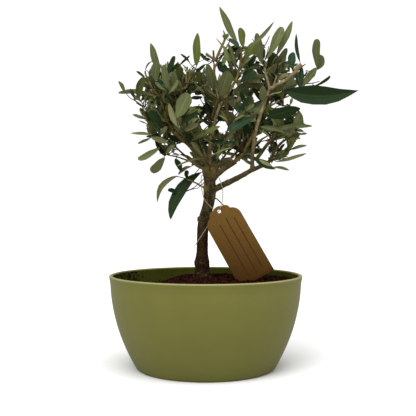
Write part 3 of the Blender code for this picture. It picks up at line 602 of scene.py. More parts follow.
# %% Crumb tree
crumb_tree, crumb_in = new_tree("strew_crumbs", (
    ("Least distance", "Float", 2.3 * MM),
    ("Smallest", "Float", 0.5),
    ("Largest", "Float", 2.1),
    ("Crumb radius", "Float", 1.35 * MM),
    ("Roughness", "Float", 1.3 * MM),
    ("Seed", "Int", 4),
    ("Material", "Material", None),
))
strewn = add(crumb_tree, "GeometryNodeDistributePointsOnFaces", {
    "Mesh": crumb_in["Geometry"],
    "Distance Min": crumb_in["Least distance"],
    "Density Max": 400000.0,
    "Seed": crumb_in["Seed"],
}, distribute_method="POISSON")
crumb = add(crumb_tree, "GeometryNodeMeshIcoSphere", {
    "Radius": crumb_in["Crumb radius"], "Subdivisions": 1,
})
turn = add(crumb_tree, "FunctionNodeRandomValue", {
    0: (0, 0, 0), 1: (6.28, 6.28, 6.28), "Seed": crumb_in["Seed"],
}, data_type="FLOAT_VECTOR")
size = add(crumb_tree, "FunctionNodeRandomValue", {
    2: crumb_in["Smallest"], 3: crumb_in["Largest"],
    "Seed": sums(crumb_tree, "ADD", crumb_in["Seed"], 1),
}, data_type="FLOAT")
dealt = add(crumb_tree, "GeometryNodeInstanceOnPoints", {
    "Points": strewn.outputs["Points"], "Instance": crumb.outputs["Mesh"],
    "Rotation": turn.outputs[0], "Scale": size.outputs[1],
})
real_crumbs = add(crumb_tree, "GeometryNodeRealizeInstances", {0: dealt.outputs["Instances"]})
spot = add(crumb_tree, "GeometryNodeInputPosition").outputs[0]
knock = noise_at(crumb_tree, spot, 700.0, 1.0)["Color"]
pushed = add(crumb_tree, "GeometryNodeSetPosition", {
    "Geometry": real_crumbs.outputs[0],
    "Offset": vectors(crumb_tree, "SCALE",
                      vectors(crumb_tree, "SUBTRACT", knock, (0.5, 0.5, 0.5)),
                      scale=crumb_in["Roughness"]),
})
end_tree(crumb_tree, pushed.outputs[0], (crumb_in["Material"], None), smooth=False)

# %% Crumbs
def soil_patch():
    """The soil's top alone, as the ground that the crumbs are strewn on."""
    bm = bmesh.new()
    bmesh.ops.create_grid(bm, x_segments=70, y_segments=70, size=116 * MM)
    room = pot_radius(SOIL_EDGE) - POT_WALL - 1.5 * MM
    for vertex in bm.verts:
        vertex.co.z = soil_height(vertex.co.x, vertex.co.y) + 0.3 * MM
    far = [vertex for vertex in bm.verts if math.hypot(vertex.co.x, vertex.co.y) > room]
    bmesh.ops.delete(bm, geom=far, context="VERTS")
    return mesh_of(bm, "patch")

crumb_paint = mottled("soil_crumb", srgb(46, 19, 11), srgb(3, 2, 1), 210, 0.9,
                      spread=0.08, detail=1, bump=0.5, depth=0.3, gloss=0.03)
crumb_mesh = run_tree(crumb_tree, soil_patch(), "soil_crumbs", {"Material": crumb_paint})
finish_piece("soil_crumbs", crumb_mesh, [])

# %% [markdown]
# ## How the tree grows
#
# Trunk, boughs and twigs follow the same rule as the solids, written again here, because this
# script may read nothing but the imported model. A limb is a path that leaves its parent in one
# direction, arrives in another and strays a little at each step. The seeds are the same, so each
# limb runs inside the solid that it replaces.

# %% Trunk and bough sizes
CLEAR = 0.35 * MM
TRUNK_FOOT = SOIL_TOP + CLEAR
TRUNK_TOP = 252 * MM
TRUNK_RADIUS = 7 * MM
TRUNK_MIDDLE_X = 0.4 * MM
TRUNK_LEAN = 4.9 * MM
TRUNK_KINK_HEIGHT = 192 * MM
TRUNK_KINK_SPAN = 17 * MM
TRUNK_STEP = 7.5 * MM
# Each bulge is (height, how much it adds to the radius, half its height)
TRUNK_BULGES = (
    (110 * MM, 5.2 * MM, 8 * MM),
    (129 * MM, 2.4 * MM, 8 * MM),
    (219 * MM, 0.9 * MM, 9 * MM),
    (245 * MM, 2.8 * MM, 8 * MM),
)
TRUNK_TOP_ROUNDING = 7 * MM
TRUNK_TOP_CLOSING = 0.75
LIMB_STEP = 10 * MM
LIMB_WANDER = 5

# Lengths in these tables are in mm. leave and arrive are (azimuth, elevation) in degrees at a
# limb's base and tip, at is how far along its parent it starts, and late is above 1 where it
# bends near its tip.
Bough = namedtuple("Bough", "name parent at leave arrive late length radius tip")
BOUGHS = tuple(
    Bough(f"bough_{name}", parent if parent == "trunk" else f"bough_{parent}", *rest)
    for name, parent, *rest in (
        ("right_low", "trunk", 110, (-6, 27), (-2, 25), 1, 76, 3.0, 2.1),
        ("right_rise", "right_low", 60, (0, 89), (0, 66), 1, 106, 2.3, 1.9),
        ("right_top", "right_rise", 103, (175, 76), (180, 78), 1, 28, 1.6, 1.3),
        ("right_stub", "right_rise", 102, (-5, 30), (0, 40), 1, 44, 2.0, 2.2),
        ("right_spur", "right_rise", 93, (-60, 5), (-55, 5), 1, 24, 1.2, 1.0),
        ("right_outer", "right_rise", 76, (25, 24), (8, 28), 1, 42, 1.3, 1.0),
        ("right_back", "right_rise", 62, (70, 40), (50, 56), 1, 26, 1.3, 1.0),
        ("right_middle", "right_rise", 30, (20, 38), (5, 26), 1, 20, 1.3, 1.0),
        ("mid_right", "trunk", 135, (8, 29), (20, 40), 1.5, 30, 2.5, 1.8),
        ("centre", "trunk", 138, (150, 82), (-4, 66), 1, 82, 2.7, 1.9),
        ("centre_left", "centre", 78, (170, 80), (176, 84), 1, 54, 1.7, 1.3),
        ("centre_tip", "centre_left", 50, (20, 50), (12, 66), 1, 36, 1.2, 1.0),
        ("centre_right", "centre", 79, (-25, 56), (-10, 70), 1, 34, 1.4, 1.1),
        ("left_high", "trunk", 139, (184, 46), (180, 52), 1, 34, 2.4, 1.8),
        ("left_upper", "trunk", 141, (150, 62), (165, 68), 1, 36, 1.9, 1.5),
        ("left_low", "trunk", 132, (174, 27), (184, 40), 1, 38, 1.8, 1.4),
        ("left_under", "left_low", 26, (200, 18), (184, 16), 1, 31, 1.0, 0.8),
        ("left_hang", "trunk", 108, (182, 36), (180, 24), 1, 32, 1.1, 0.9),
        ("front_left", "trunk", 138, (240, 38), (234, 52), 1, 26, 2.0, 1.6),
        ("front_right", "trunk", 136, (300, 32), (300, 48), 1, 26, 2.0, 1.6),
        ("front", "trunk", 131, (268, 20), (262, 10), 1, 18, 1.2, 1.0),
        ("back_left", "trunk", 137, (128, 34), (136, 48), 1, 30, 2.1, 1.6),
        ("back_right", "trunk", 135, (52, 30), (48, 46), 1, 30, 2.1, 1.6),
        ("back", "trunk", 139, (85, 52), (90, 60), 1, 32, 2.0, 1.5),
        ("back_low", "trunk", 132, (98, 14), (96, 8), 1, 24, 1.3, 1.0),
        ("sucker", "trunk", 104, (8, -20), (0, -50), 1, 22, 0.8, 0.7),
    )
)

# %% Limb paths
def limb_path(start, first, last, length, late, step, wander, seed):
    """Points along a limb that leaves along first and arrives along last, straying a little."""
    draw = random.Random(seed)
    count = max(2, round(length / step))
    path = [start.copy()]
    for i in range(count):
        share = ((i + 0.5) / count) ** late
        line = (first * (1 - share) + last * share).normalized()
        stray = Vector((draw.uniform(-1, 1), draw.uniform(-1, 1), draw.uniform(-1, 1)))
        line = (line + stray * math.radians(wander)).normalized()
        path.append(path[-1] + line * (length / count))
    return path

def point_along(path, distance):
    """The point at a distance along a path."""
    for a, b in zip(path, path[1:]):
        span = (b - a).length
        if distance <= span:
            return a.lerp(b, distance / span)
        distance -= span
    return path[-1].copy()

def tip_heading(path):
    return (path[-1] - path[-2]).normalized()

def line_at(path, i):
    """Which way a path runs at one of its points."""
    return (path[min(i + 1, len(path) - 1)] - path[max(i - 1, 0)]).normalized()

def path_length(path):
    return sum((b - a).length for a, b in zip(path, path[1:]))

def tapered(path, base, tip):
    last = len(path) - 1
    return [base + (tip - base) * i / last for i in range(len(path))]

def trunk_centre(height):
    """The middle of the trunk at a height: upright, with one kink to the right."""
    kink = math.tanh((height - TRUNK_KINK_HEIGHT) / TRUNK_KINK_SPAN)
    return Vector((TRUNK_MIDDLE_X + TRUNK_LEAN * kink, 0, height))

def trunk_radius(height):
    radius = TRUNK_RADIUS
    for middle, extra, spread in TRUNK_BULGES:
        radius += extra * math.exp(-(((height - middle) / spread) ** 2))
    below_top = TRUNK_TOP - height
    if below_top < TRUNK_TOP_ROUNDING:
        share = 1 - below_top / TRUNK_TOP_ROUNDING
        radius *= math.sqrt(1 - TRUNK_TOP_CLOSING * share * share)
    return radius

def trunk_path(step):
    count = round((TRUNK_TOP - TRUNK_FOOT) / step)
    heights = [TRUNK_FOOT + (TRUNK_TOP - TRUNK_FOOT) * i / count for i in range(count + 1)]
    path = [trunk_centre(height) for height in heights]
    path[0].x = path[1].x
    return path

paths = {"trunk": trunk_path(TRUNK_STEP)}
for number, bough in enumerate(BOUGHS):
    start = point_along(paths[bough.parent], bough.at * MM)
    first, last = heading(*bough.leave), heading(*bough.arrive)
    paths[bough.name] = limb_path(
        start, first, last, bough.length * MM, bough.late, LIMB_STEP, LIMB_WANDER, number
    )
print(len(paths), "limbs")

# %% [markdown]
# ## Tubes along paths
#
# Limbs, twigs and twine are all round tubes that follow a path and change their thickness along
# it. One Geometry Nodes tree makes them: an edge path becomes a smooth curve through its points,
# is read again at even steps, and a circle is swept along it, scaled by the radius stored there.

# %% Tube tree
tube_tree, tube_in = new_tree("tubes_on_paths", (
    ("Sides", "Int", 6),
    ("Step", "Float", 3 * MM),
    ("Material", "Material", None),
))
as_curve = add(tube_tree, "GeometryNodeMeshToCurve", {0: tube_in["Geometry"]})
with_girth = add(tube_tree, "GeometryNodeSetCurveRadius", {
    "Curve": as_curve.outputs[0], "Radius": named(tube_tree, "girth"),
})
smooth_curve = add(tube_tree, "GeometryNodeCurveSplineType", {"Curve": with_girth.outputs[0]},
                   spline_type="CATMULL_ROM")
even = add(tube_tree, "GeometryNodeResampleCurve", {
    "Curve": smooth_curve.outputs[0], "Length": tube_in["Step"],
}, mode="LENGTH")
ring = add(tube_tree, "GeometryNodeCurvePrimitiveCircle", {
    "Resolution": tube_in["Sides"], "Radius": 1.0,
})
swept = add(tube_tree, "GeometryNodeCurveToMesh", {
    "Curve": even.outputs[0], "Profile Curve": ring.outputs[0],
    "Scale": add(tube_tree, "GeometryNodeInputRadius").outputs[0], "Fill Caps": True,
})
end_tree(tube_tree, swept.outputs[0], (tube_in["Material"], None))

def edge_paths(name, runs):
    """A mesh of bare edge paths. Each run is its points and their radii."""
    points, edges, radii = [], [], []
    for path, girths in runs:
        first = len(points)
        points += [tuple(point) for point in path]
        radii += list(girths)
        edges += [(first + i, first + i + 1) for i in range(len(path) - 1)]
    mesh = bpy.data.meshes.new(name)
    mesh.from_pydata(points, edges, [])
    mesh.attributes.new("girth", "FLOAT", "POINT").data.foreach_set("value", radii)
    return mesh

def tubes(name, runs, material, sides=6, step=3 * MM):
    return run_tree(tube_tree, edge_paths(name, runs), name,
                    {"Sides": sides, "Step": step, "Material": material})

# %% [markdown]
# ## The bark
#
# The trunk of a young olive is slim, dark and ribbed, with a knobbly burl at its foot where it
# was once cut back. The boughs are smoother and paler, with a slight ring at each old leaf pair.
# All of it is one skin, so trunk and boughs are made as overlapping tubes, melted together by a
# voxel remesh, and the skin is then pushed in and out along its normals.

# %% Trunk and boughs as one body
ROOT_LOBES = 5
ROOT_LOBE_DEPTH = 0.16
ROOT_LOBE_HEIGHT = 10 * MM
RIB_COUNT = 3
RIB_DEPTH = 0.04
RIB_TWIST = 120
RING_SPACING = 11.5 * MM
RING_SWELL = 0.14
RING_SPAN = 1.1 * MM
BOUGH_BARK = 1.1
# The lowest bough on the right shows thicker and a little lower than its solid
LOW_BOUGH_SHARE = 1.3
LOW_BOUGH_DROP = 0.9 * MM
BARK_VOXEL = 0.55 * MM

def trunk_mesh():
    path = trunk_path(2 * MM)
    mesh = tubes("trunk_core", [(path, [trunk_radius(point.z) for point in path])], None,
                 sides=40, step=1.5 * MM)
    for vertex in mesh.vertices:
        middle = trunk_centre(vertex.co.z)
        angle = math.atan2(vertex.co.y, vertex.co.x - middle.x)
        fade = math.exp(-(vertex.co.z - TRUNK_FOOT) / ROOT_LOBE_HEIGHT)
        swell = 1 + ROOT_LOBE_DEPTH * fade * math.cos(ROOT_LOBES * angle + 1)
        swell += RIB_DEPTH * math.cos(RIB_COUNT * angle + RIB_TWIST * vertex.co.z)
        vertex.co.x = middle.x + (vertex.co.x - middle.x) * swell
        vertex.co.y *= swell
    return mesh

def ringed(bough):
    """A bough's path read finely, with its radii swollen a little at each old leaf pair."""
    path = paths[bough.name]
    length = bough.length * MM
    count = max(6, round(length / (1.6 * MM)))
    fine, radii = [], []
    for i in range(count + 1):
        share = i / count
        distance = share * length
        offset = (distance + 3 * MM) % RING_SPACING - RING_SPACING / 2
        ring_swell = RING_SWELL * math.exp(-((offset / RING_SPAN) ** 2))
        fine.append(point_along(path, distance))
        flare = 0.35 * math.exp(-distance / (4 * MM))
        radius = (bough.radius + (bough.tip - bough.radius) * share) * MM
        if bough.name == "bough_right_low":
            fine[-1].z -= LOW_BOUGH_DROP
            radius *= LOW_BOUGH_SHARE - 0.2 * share
        radii.append(radius * (BOUGH_BARK + ring_swell + flare))
    return fine, radii

# Each is (pixels of its two ends, width there in pixels, the limb that it belongs to)
KNOBS = (
    (((209, 184), (216, 175)), (9, 6.5), "trunk"),
    (((216, 175), (225, 168)), (6.5, 5.6), "bough_mid_right"),
    (((225, 168), (236, 161.5)), (5.6, 4.6), "bough_mid_right"),
    (((206, 220), (197.4, 218.6)), (7, 4.6), "trunk"),
    (((294, 70.5), (301.5, 64.8)), (4.4, 5), "bough_right_stub"),
)

def knob(pixels, widths, limb):
    """A swelling or a cut stub at the depth of its limb, on the side where the picture shows it."""
    depth = paths[limb][0 if limb == "bough_mid_right" else -1].y
    ends = [place_of(pixel, depth) for pixel in pixels]
    return ends, [width / 2 * pixel_size(depth) for width in widths]

bough_runs = [ringed(bough) for bough in BOUGHS]
knob_runs = [knob(*row) for row in KNOBS]
bark_bm = bmesh.new()
bark_bm.from_mesh(trunk_mesh())
bark_bm.from_mesh(tubes("boughs", bough_runs + knob_runs, None, sides=12, step=1.2 * MM))
bark_object = plain_object("bark_core", mesh_of(bark_bm, "bark_core"))
melt = bark_object.modifiers.new("melt", "REMESH")
melt.mode = "VOXEL"
melt.voxel_size = BARK_VOXEL
melted = worked_out(bark_object, "bark_skin")
print("bark skin has", len(melted.vertices), "points")

# %% [markdown]
# How deep the relief may go depends on how thick the limb is there, so each point of the skin
# first learns the radius of the limb that it lies on. The relief itself is a Geometry Nodes tree:
# long ribs from a noise squeezed along the trunk, a net of fine cracks, and pits on the burl.

# %% Girth of the limb at each point of the skin
samples = [(point, trunk_radius(point.z)) for point in trunk_path(2 * MM)]
for fine, radii in bough_runs:
    samples += zip(fine, radii)
nearest_limb = KDTree(len(samples))
for number, (point, radius) in enumerate(samples):
    nearest_limb.insert(point, number)
nearest_limb.balance()
girths = []
for vertex in melted.vertices:
    found = nearest_limb.find_n(vertex.co, 4)
    best = min(found, key=lambda hit: hit[2] - samples[hit[1]][1])
    girths.append(samples[best[1]][1])
melted.attributes.new("girth", "FLOAT", "POINT").data.foreach_set("value", girths)

# %% Relief tree
relief_tree, relief_in = new_tree("bark_relief", (
    ("Rib depth", "Float", 0.20),
    ("Crack depth", "Float", 0.10),
    ("Burl height", "Float", 137 * MM),
    ("Burl depth", "Float", 2.6 * MM),
    ("Material", "Material", None),
))
girth_here = named(relief_tree, "girth")
spot = add(relief_tree, "GeometryNodeInputPosition").outputs[0]

def relief_noise(where, scale, detail, roughness, depth):
    """A noise that swings both ways about nothing, times a depth."""
    wave = noise_at(relief_tree, where, scale, detail, roughness)["Fac"]
    return product(relief_tree, sums(relief_tree, "SUBTRACT", wave, 0.5), depth)

ribs = relief_noise(vectors(relief_tree, "MULTIPLY", spot, (1, 1, 0.3)), 210.0, 3.0, 0.55,
                    relief_in["Rib depth"])
knobs = relief_noise(spot, 270.0, 2.0, 0.65, relief_in["Burl depth"])
net = add(relief_tree, "ShaderNodeTexVoronoi", {
    "Vector": vectors(relief_tree, "MULTIPLY", spot, (1, 1, 0.45)), "Scale": 520.0,
}, feature="DISTANCE_TO_EDGE").outputs["Distance"]
cracks = product(relief_tree, ramp(relief_tree, net, 0, 0.12, -1, 0), relief_in["Crack depth"],
                 ramp(relief_tree, girth_here, 3 * MM, 6.5 * MM, 0.35, 1))
on_limb = product(relief_tree, sums(relief_tree, "ADD", ribs, cracks), girth_here)
on_burl = ramp(relief_tree, xyz(relief_tree, spot)["Z"], relief_in["Burl height"],
               sums(relief_tree, "SUBTRACT", relief_in["Burl height"], 9 * MM))
relief = sums(relief_tree, "ADD", on_limb, product(relief_tree, knobs, on_burl))
pushed_bark = add(relief_tree, "GeometryNodeSetPosition", {
    "Geometry": relief_in["Geometry"],
    "Offset": vectors(relief_tree, "SCALE", add(relief_tree, "GeometryNodeInputNormal").outputs[0],
                      scale=relief),
})
with_relief = store(relief_tree, pushed_bark.outputs[0], "relief", relief)
end_tree(relief_tree, with_relief, (relief_in["Material"], None))

# %% [markdown]
# The bark's colour goes from near black in the pits, through dark brown on the trunk, to the thinner
# boughs, which are ochre on the left and greyish tan high on the right. The material reads the two
# attributes that the skin carries: the limb's girth chooses between trunk and bough colours, and the
# relief paints shade, near black, into the hollows and a painted highlight onto the crests.

# %% Bark finish
# Each is (light, dark): boughs on the left, low ones and high ones on the right, the upper trunk
LIMB_TONES = (
    (srgb(128, 112, 68), srgb(80, 66, 34)),
    (srgb(108, 97, 62), srgb(60, 51, 28)),
    (srgb(172, 157, 120), srgb(112, 100, 66)),
    (srgb(102, 92, 62), srgb(40, 32, 14)),
)

def barked(tree, low_trunk, where):
    spot = xyz(tree, where)
    left, low, high, high_trunk = [mottle_in(tree, *tones, 160)["Colour"] for tones in LIMB_TONES]
    right = mixed(tree, ramp(tree, spot["Z"], 244 * MM, 300 * MM), low, high)
    bough = mixed(tree, ramp(tree, spot["X"], -8 * MM, 40 * MM), left, right)
    trunk = mixed(tree, ramp(tree, spot["Z"], 160 * MM, 190 * MM), low_trunk, high_trunk)
    girth = add(tree, "ShaderNodeAttribute", attribute_name="girth").outputs["Fac"]
    relief = add(tree, "ShaderNodeAttribute", attribute_name="relief").outputs["Fac"]
    like_bough = sums(tree, "MAXIMUM", ramp(tree, girth, 5.5 * MM, 2.2 * MM),
                      ramp(tree, spot["Z"], 218 * MM, 250 * MM))
    # Painted highlight on the relief's crests, painted shade in its hollows
    crest = ramp(tree, relief, 0.1 * MM, 0.6 * MM, 0, 0.55)
    hollow = ramp(tree, relief, 0.05 * MM, -0.45 * MM, 0, 0.8)
    lit = mixed(tree, crest, mixed(tree, like_bough, trunk, bough), srgb(112, 92, 62))
    return mixed(tree, hollow, lit, srgb(14, 9, 5))

bark_brown = mottled("bark_brown", srgb(68, 48, 27), srgb(27, 17, 8), 240, 0.9,
                     spread=0.2, detail=4, bump=0.7, depth=0.3, gloss=0.08)
bark_mesh = run_tree(relief_tree, melted, "bark", {"Material": repainted(bark_brown, barked)})
finish_piece("bark", bark_mesh, ["trunk", *[bough.name for bough in BOUGHS]])

# %% [markdown]
# ## The crown's rule
#
# Each mass of the crown grows on from its bough's tip: a stem, twigs in opposite pairs, each pair
# turned a quarter against the last, and leaves in pairs on the twigs. This is the source's rule
# with its own seeds, so it offers the same twigs and leaves as the solids hold.

# %% Crown tables
Mass = namedtuple("Mass", "name bough arrive length pairs twig leaf seed")
MASSES = tuple(
    Mass(f"foliage_{name}", f"bough_{bough}", *rest)
    for name, bough, *rest in (
        ("left_hang", "left_hang", (190, 10), 12, 0, 0, 22, 1),
        ("sucker", "sucker", (10, -75), 6, 0, 0, 20, 22),
        ("right_leaf", "right_spur", (-20, 5), 8, 0, 0, 24, 9),
        ("left_under", "left_under", (184, 10), 12, 0, 14, 24, 21),
        ("top", "centre_tip", (10, 75), 8, 0, 20, 20, 5),
        ("top_middle", "centre_right", (0, 74), 36, 2, 26, 34, 6),
        ("right_top", "right_top", (90, 84), 34, 2, 26, 36, 7),
        ("right_stub", "right_stub", (-10, 40), 12, 0, 16, 26, 8),
        ("right_outer", "right_outer", (0, 52), 42, 2, 18, 28, 17),
        ("left_outer", "left_low", (180, 62), 96, 4, 20, 30, 2),
        ("left_high", "left_high", (176, 74), 100, 4, 24, 32, 3),
        ("left_upper", "left_upper", (180, 74), 88, 4, 28, 34, 18),
        ("top_left", "centre_left", (180, 5), 16, 0, 24, 30, 4),
        ("right_back", "right_back", (10, 66), 56, 3, 26, 34, 25),
        ("right_middle", "right_middle", (-4, 26), 40, 3, 22, 34, 19),
        ("right_low", "right_low", (-5, 40), 40, 3, 22, 28, 10),
        ("mid_right", "mid_right", (10, 66), 94, 4, 28, 34, 11),
        ("front", "front", (250, 20), 22, 1, 20, 30, 23),
        ("front_left", "front_left", (214, 66), 84, 4, 28, 34, 12),
        ("front_right", "front_right", (320, 70), 86, 4, 28, 34, 13),
        ("back_left", "back_left", (150, 66), 96, 4, 28, 34, 14),
        ("back_right", "back_right", (36, 66), 96, 4, 28, 34, 15),
        ("back", "back", (100, 72), 90, 4, 26, 34, 16),
        ("back_low", "back_low", (80, 20), 40, 2, 22, 31, 24),
    )
)

# %% Twig and leaf sizes
UPRIGHT = Vector((0.13, 0.21, 1))
QUARTER_TURN = 90
STEM_SHARE = 0.9
STEM_WANDER = 5
STEM_FIRST_PAIR = 0.3
TWIG_RADIUS = 0.8 * MM
TWIG_TIP_RADIUS = 0.5 * MM
TWIG_OPENINGS = (38, 58)
TWIG_TURNS = (-25, 25)
TWIG_LENGTHS = (0.75, 1.2)
TWIG_SHRINK = 0.25
TWIG_LIFT = 0.35
TWIG_STEP = 13 * MM
TWIG_WANDER = 6
LEAF_SPACING = 12.5 * MM
LEAF_FIRST_PAIR = 0.35
LEAF_PAIR_REACH = 0.62
LEAF_SHRINK = 0.12
LEAF_OPENING = 50
LEAF_OPENING_DRAW = (-12, 12)
LEAF_TURNS = (-22, 22)
LEAF_ROLLS = (-35, 35)
LEAF_LIFT = 0.30
LEAF_LENGTHS = (0.72, 1.18)
LEAF_WIDTH_SHARE = 0.34
LEAF_WIDTHS = (0.85, 1.15)
LEAF_DROOPS = (-0.04, 0.16)
TIP_LEAF_LENGTHS = (0.75, 1.0)
TIP_LEAF_WIDTH_SHARE = 0.25
TIP_LEAF_DROOP = 0.05
TIP_LEAF_SINK = MM
Shoot = namedtuple("Shoot", "path base tip leaves")
Blade = namedtuple("Blade", "root along up length width droop")

# %% Twigs and leaves by the source's rule
def turned_side(line, degrees):
    """A direction square to a line, turned about it."""
    side = line.cross(UPRIGHT).normalized()
    side.rotate(Matrix.Rotation(math.radians(degrees), 3, line))
    return side

def opened(line, side, degrees):
    """A direction that opens from a line towards a side."""
    angle = math.radians(degrees)
    return line * math.cos(angle) + side * math.sin(angle)

def blade_pair(draw, root, line, phase, length):
    """Two opposite leaves at a point of a twig that runs along line."""
    side = turned_side(line, phase + draw.uniform(*LEAF_TURNS))
    pair = []
    for way in (1, -1):
        along = opened(line, side * way, LEAF_OPENING + draw.uniform(*LEAF_OPENING_DRAW))
        along = (along + Vector((0, 0, LEAF_LIFT))).normalized()
        up = (line - along * line.dot(along)).normalized()
        up.rotate(Matrix.Rotation(math.radians(draw.uniform(*LEAF_ROLLS)), 3, along))
        size = length * draw.uniform(*LEAF_LENGTHS)
        width = size * LEAF_WIDTH_SHARE * draw.uniform(*LEAF_WIDTHS)
        pair.append(Blade(root, along, up, size, width, draw.uniform(*LEAF_DROOPS)))
    return pair

def tip_leaf(path, size, width_share):
    """The leaf that carries on from the end of a path."""
    line = tip_heading(path)
    root = path[-1] - line * TIP_LEAF_SINK
    up = line.orthogonal().normalized()
    return Blade(root, line, up, size, size * width_share, TIP_LEAF_DROOP)

def leafy_twig(draw, start, first, length, leaf):
    """A twig with leaves in opposite pairs and one leaf at its tip."""
    lifted = (first + Vector((0, 0, TWIG_LIFT))).normalized()
    seed = draw.randrange(10**6)
    path = limb_path(start, first, lifted, length, 1, TWIG_STEP, TWIG_WANDER, seed)
    pairs = max(1, int(length / LEAF_SPACING))
    blades = []
    for k in range(pairs):
        distance = length * (LEAF_FIRST_PAIR + LEAF_PAIR_REACH * k / pairs)
        line = (first * (pairs - k) + lifted * k).normalized()
        size = leaf * (1 - LEAF_SHRINK * k)
        blades += blade_pair(draw, point_along(path, distance), line, QUARTER_TURN * k, size)
    blades.append(tip_leaf(path, leaf * draw.uniform(*TIP_LEAF_LENGTHS), LEAF_WIDTH_SHARE))
    return Shoot(path, TWIG_RADIUS, TWIG_TIP_RADIUS, blades)

def grow_mass(mass, bough_path, bough_tip):
    """The shoots of a mass: its stem, then its twigs in pairs, each a quarter turn on."""
    draw = random.Random(mass.seed)
    first = tip_heading(bough_path)
    start = bough_path[-1] + first * CLEAR
    last = heading(*mass.arrive)
    reach = mass.length * MM
    path = limb_path(start, first, last, reach, 1, TWIG_STEP, STEM_WANDER, mass.seed)
    base = bough_tip * STEM_SHARE
    line = tip_heading(path)
    leaf_length = mass.leaf * MM
    blades = blade_pair(draw, path[-1] - line * TIP_LEAF_SINK, line, 0, leaf_length)
    blades.append(tip_leaf(path, leaf_length, TIP_LEAF_WIDTH_SHARE))
    shoots = [Shoot(path, base, TWIG_TIP_RADIUS, blades)]
    for k in range(mass.pairs):
        share = (k + STEM_FIRST_PAIR) / mass.pairs
        root = point_along(path, reach * share)
        line = (first * (1 - share) + last * share).normalized()
        side = turned_side(line, QUARTER_TURN * k + draw.uniform(*TWIG_TURNS))
        for way in (1, -1):
            out = opened(line, side * way, draw.uniform(*TWIG_OPENINGS))
            length = mass.twig * MM * draw.uniform(*TWIG_LENGTHS) * (1 - TWIG_SHRINK * share)
            shoots.append(leafy_twig(draw, root, out.normalized(), length, leaf_length))
    return shoots

bough_tips = {bough.name: bough.tip * MM for bough in BOUGHS}
grown = {mass.name: grow_mass(mass, paths[mass.bough], bough_tips[mass.bough]) for mass in MASSES}
print(sum(len(shoots) for shoots in grown.values()), "shoots offered")

# %% [markdown]
# ## Room among the twigs
#
# In the solids a twig or leaf that had no room was left out. The same choice is read back from
# them: a shoot is kept if its line lies inside its mass's solid. What is added later must not
# pass through what is there, so every leaf and twig placed is remembered as a simple shape.

# %% Inside the solids, and clear of neighbours
IN_TWIG = 1.3 * MM
IN_LEAF = 0.9 * MM
# A leaf as a simple plate: shares of its length, and how much of the half width it has there
PLATE_ROWS = ((0.12, 0.3), (0.4, 0.85), (0.7, 0.85), (0.97, 0.25))

def shape_of(mesh):
    return [v.co for v in mesh.vertices], [tuple(p.vertices) for p in mesh.polygons]

def tree_of(mesh):
    return BVHTree.FromPolygons(*shape_of(mesh))

def lies_in(tree, points, reach):
    return all(tree.find_nearest(point)[3] < reach for point in points)

def blade_point(blade, share, aside=0.0):
    """A point of a leaf at a share of its length, so many half widths aside from its midrib."""
    across = blade.along.cross(blade.up)
    point = blade.root + blade.along * (blade.length * share) + across * (aside * blade.width / 2)
    point.z -= blade.droop * blade.length * share * share
    return point

def bent_point(blade, share, aside=0.0, sweep=0.0, bow=0.0):
    """The same of a leaf that is bent to the side and out of its plane, by shares of its length."""
    reach = 4 * share * (1 - share) * blade.length
    bend = blade.along.cross(blade.up) * sweep + blade.up * bow
    return blade_point(blade, share, aside) + bend * reach

def blade_plate(blade, sweep=0.0, bow=0.0):
    points = [bent_point(blade, share, side * wide, sweep, bow)
              for share, wide in PLATE_ROWS for side in (-1, 1)]
    return points, [(2 * i, 2 * i + 1, 2 * i + 3, 2 * i + 2) for i in range(3)]

def twig_prism(path, radii):
    points, faces = [], []
    for i, (place, radius) in enumerate(zip(path, radii)):
        line = line_at(path, i)
        side = line.cross(UPRIGHT).normalized()
        other = line.cross(side)
        for k in range(3):
            a = 2 * math.pi * k / 3
            points.append(place + (side * math.cos(a) + other * math.sin(a)) * radius)
        if i:
            this, last = 3 * i, 3 * i - 3
            for k, next_k in ((0, 1), (1, 2), (2, 0)):
                faces.append((this + k, this + next_k, last + next_k, last + k))
    return points, faces

class Room:
    """What has been placed so far, to ask whether something new would pass through it."""

    def __init__(self):
        self.lows, self.highs, self.trees, self.owners = [], [], [], []
        self.table = None

    def add(self, points, faces, owner):
        self.trees.append(BVHTree.FromPolygons(points, faces))
        cloud = np.array([tuple(point) for point in points])
        self.lows.append(cloud.min(0))
        self.highs.append(cloud.max(0))
        self.owners.append(owner)
        self.table = None

    def meets(self, points, faces, owner):
        if self.table is None:
            self.table = (np.array(self.lows), np.array(self.highs))
        cloud = np.array([tuple(point) for point in points])
        low, high = cloud.min(0), cloud.max(0)
        near = (self.table[0] <= high).all(1) & (self.table[1] >= low).all(1)
        hits = [i for i in np.nonzero(near)[0] if self.owners[i] != owner]
        if not hits:
            return False
        tree = BVHTree.FromPolygons(points, faces)
        return any(tree.overlap(self.trees[i]) for i in hits)

room = Room()
for name, node in frame["nodes"].items():
    if name.startswith("bough_") or name in ("trunk", "tag", "twine"):
        room.add(*shape_of(node.data), name)

# %% Wood and leaves that the solids hold
LEAF_PROBES = (0.45, 0.66, 0.85)
Wood = namedtuple("Wood", "path base tip key leaf")
wood, kept_blades, spare_blades = [], [], []
for mass in MASSES:
    solid = tree_of(frame["nodes"][mass.name].data)
    for number, shoot in enumerate(grown[mass.name]):
        if number and not lies_in(solid, shoot.path[1:], IN_TWIG):
            continue
        key = (mass.name, number)
        wood.append(Wood(shoot.path, shoot.base, shoot.tip, key, mass.leaf * MM))
        room.add(*twig_prism(shoot.path, tapered(shoot.path, shoot.base, shoot.tip)), key)
        for blade in shoot.leaves:
            held = lies_in(solid, [blade_point(blade, share) for share in LEAF_PROBES], IN_LEAF)
            (kept_blades if held else spare_blades).append((blade, key))
print(len(wood), "stems and twigs,", len(kept_blades), "leaves,", len(spare_blades), "left out")

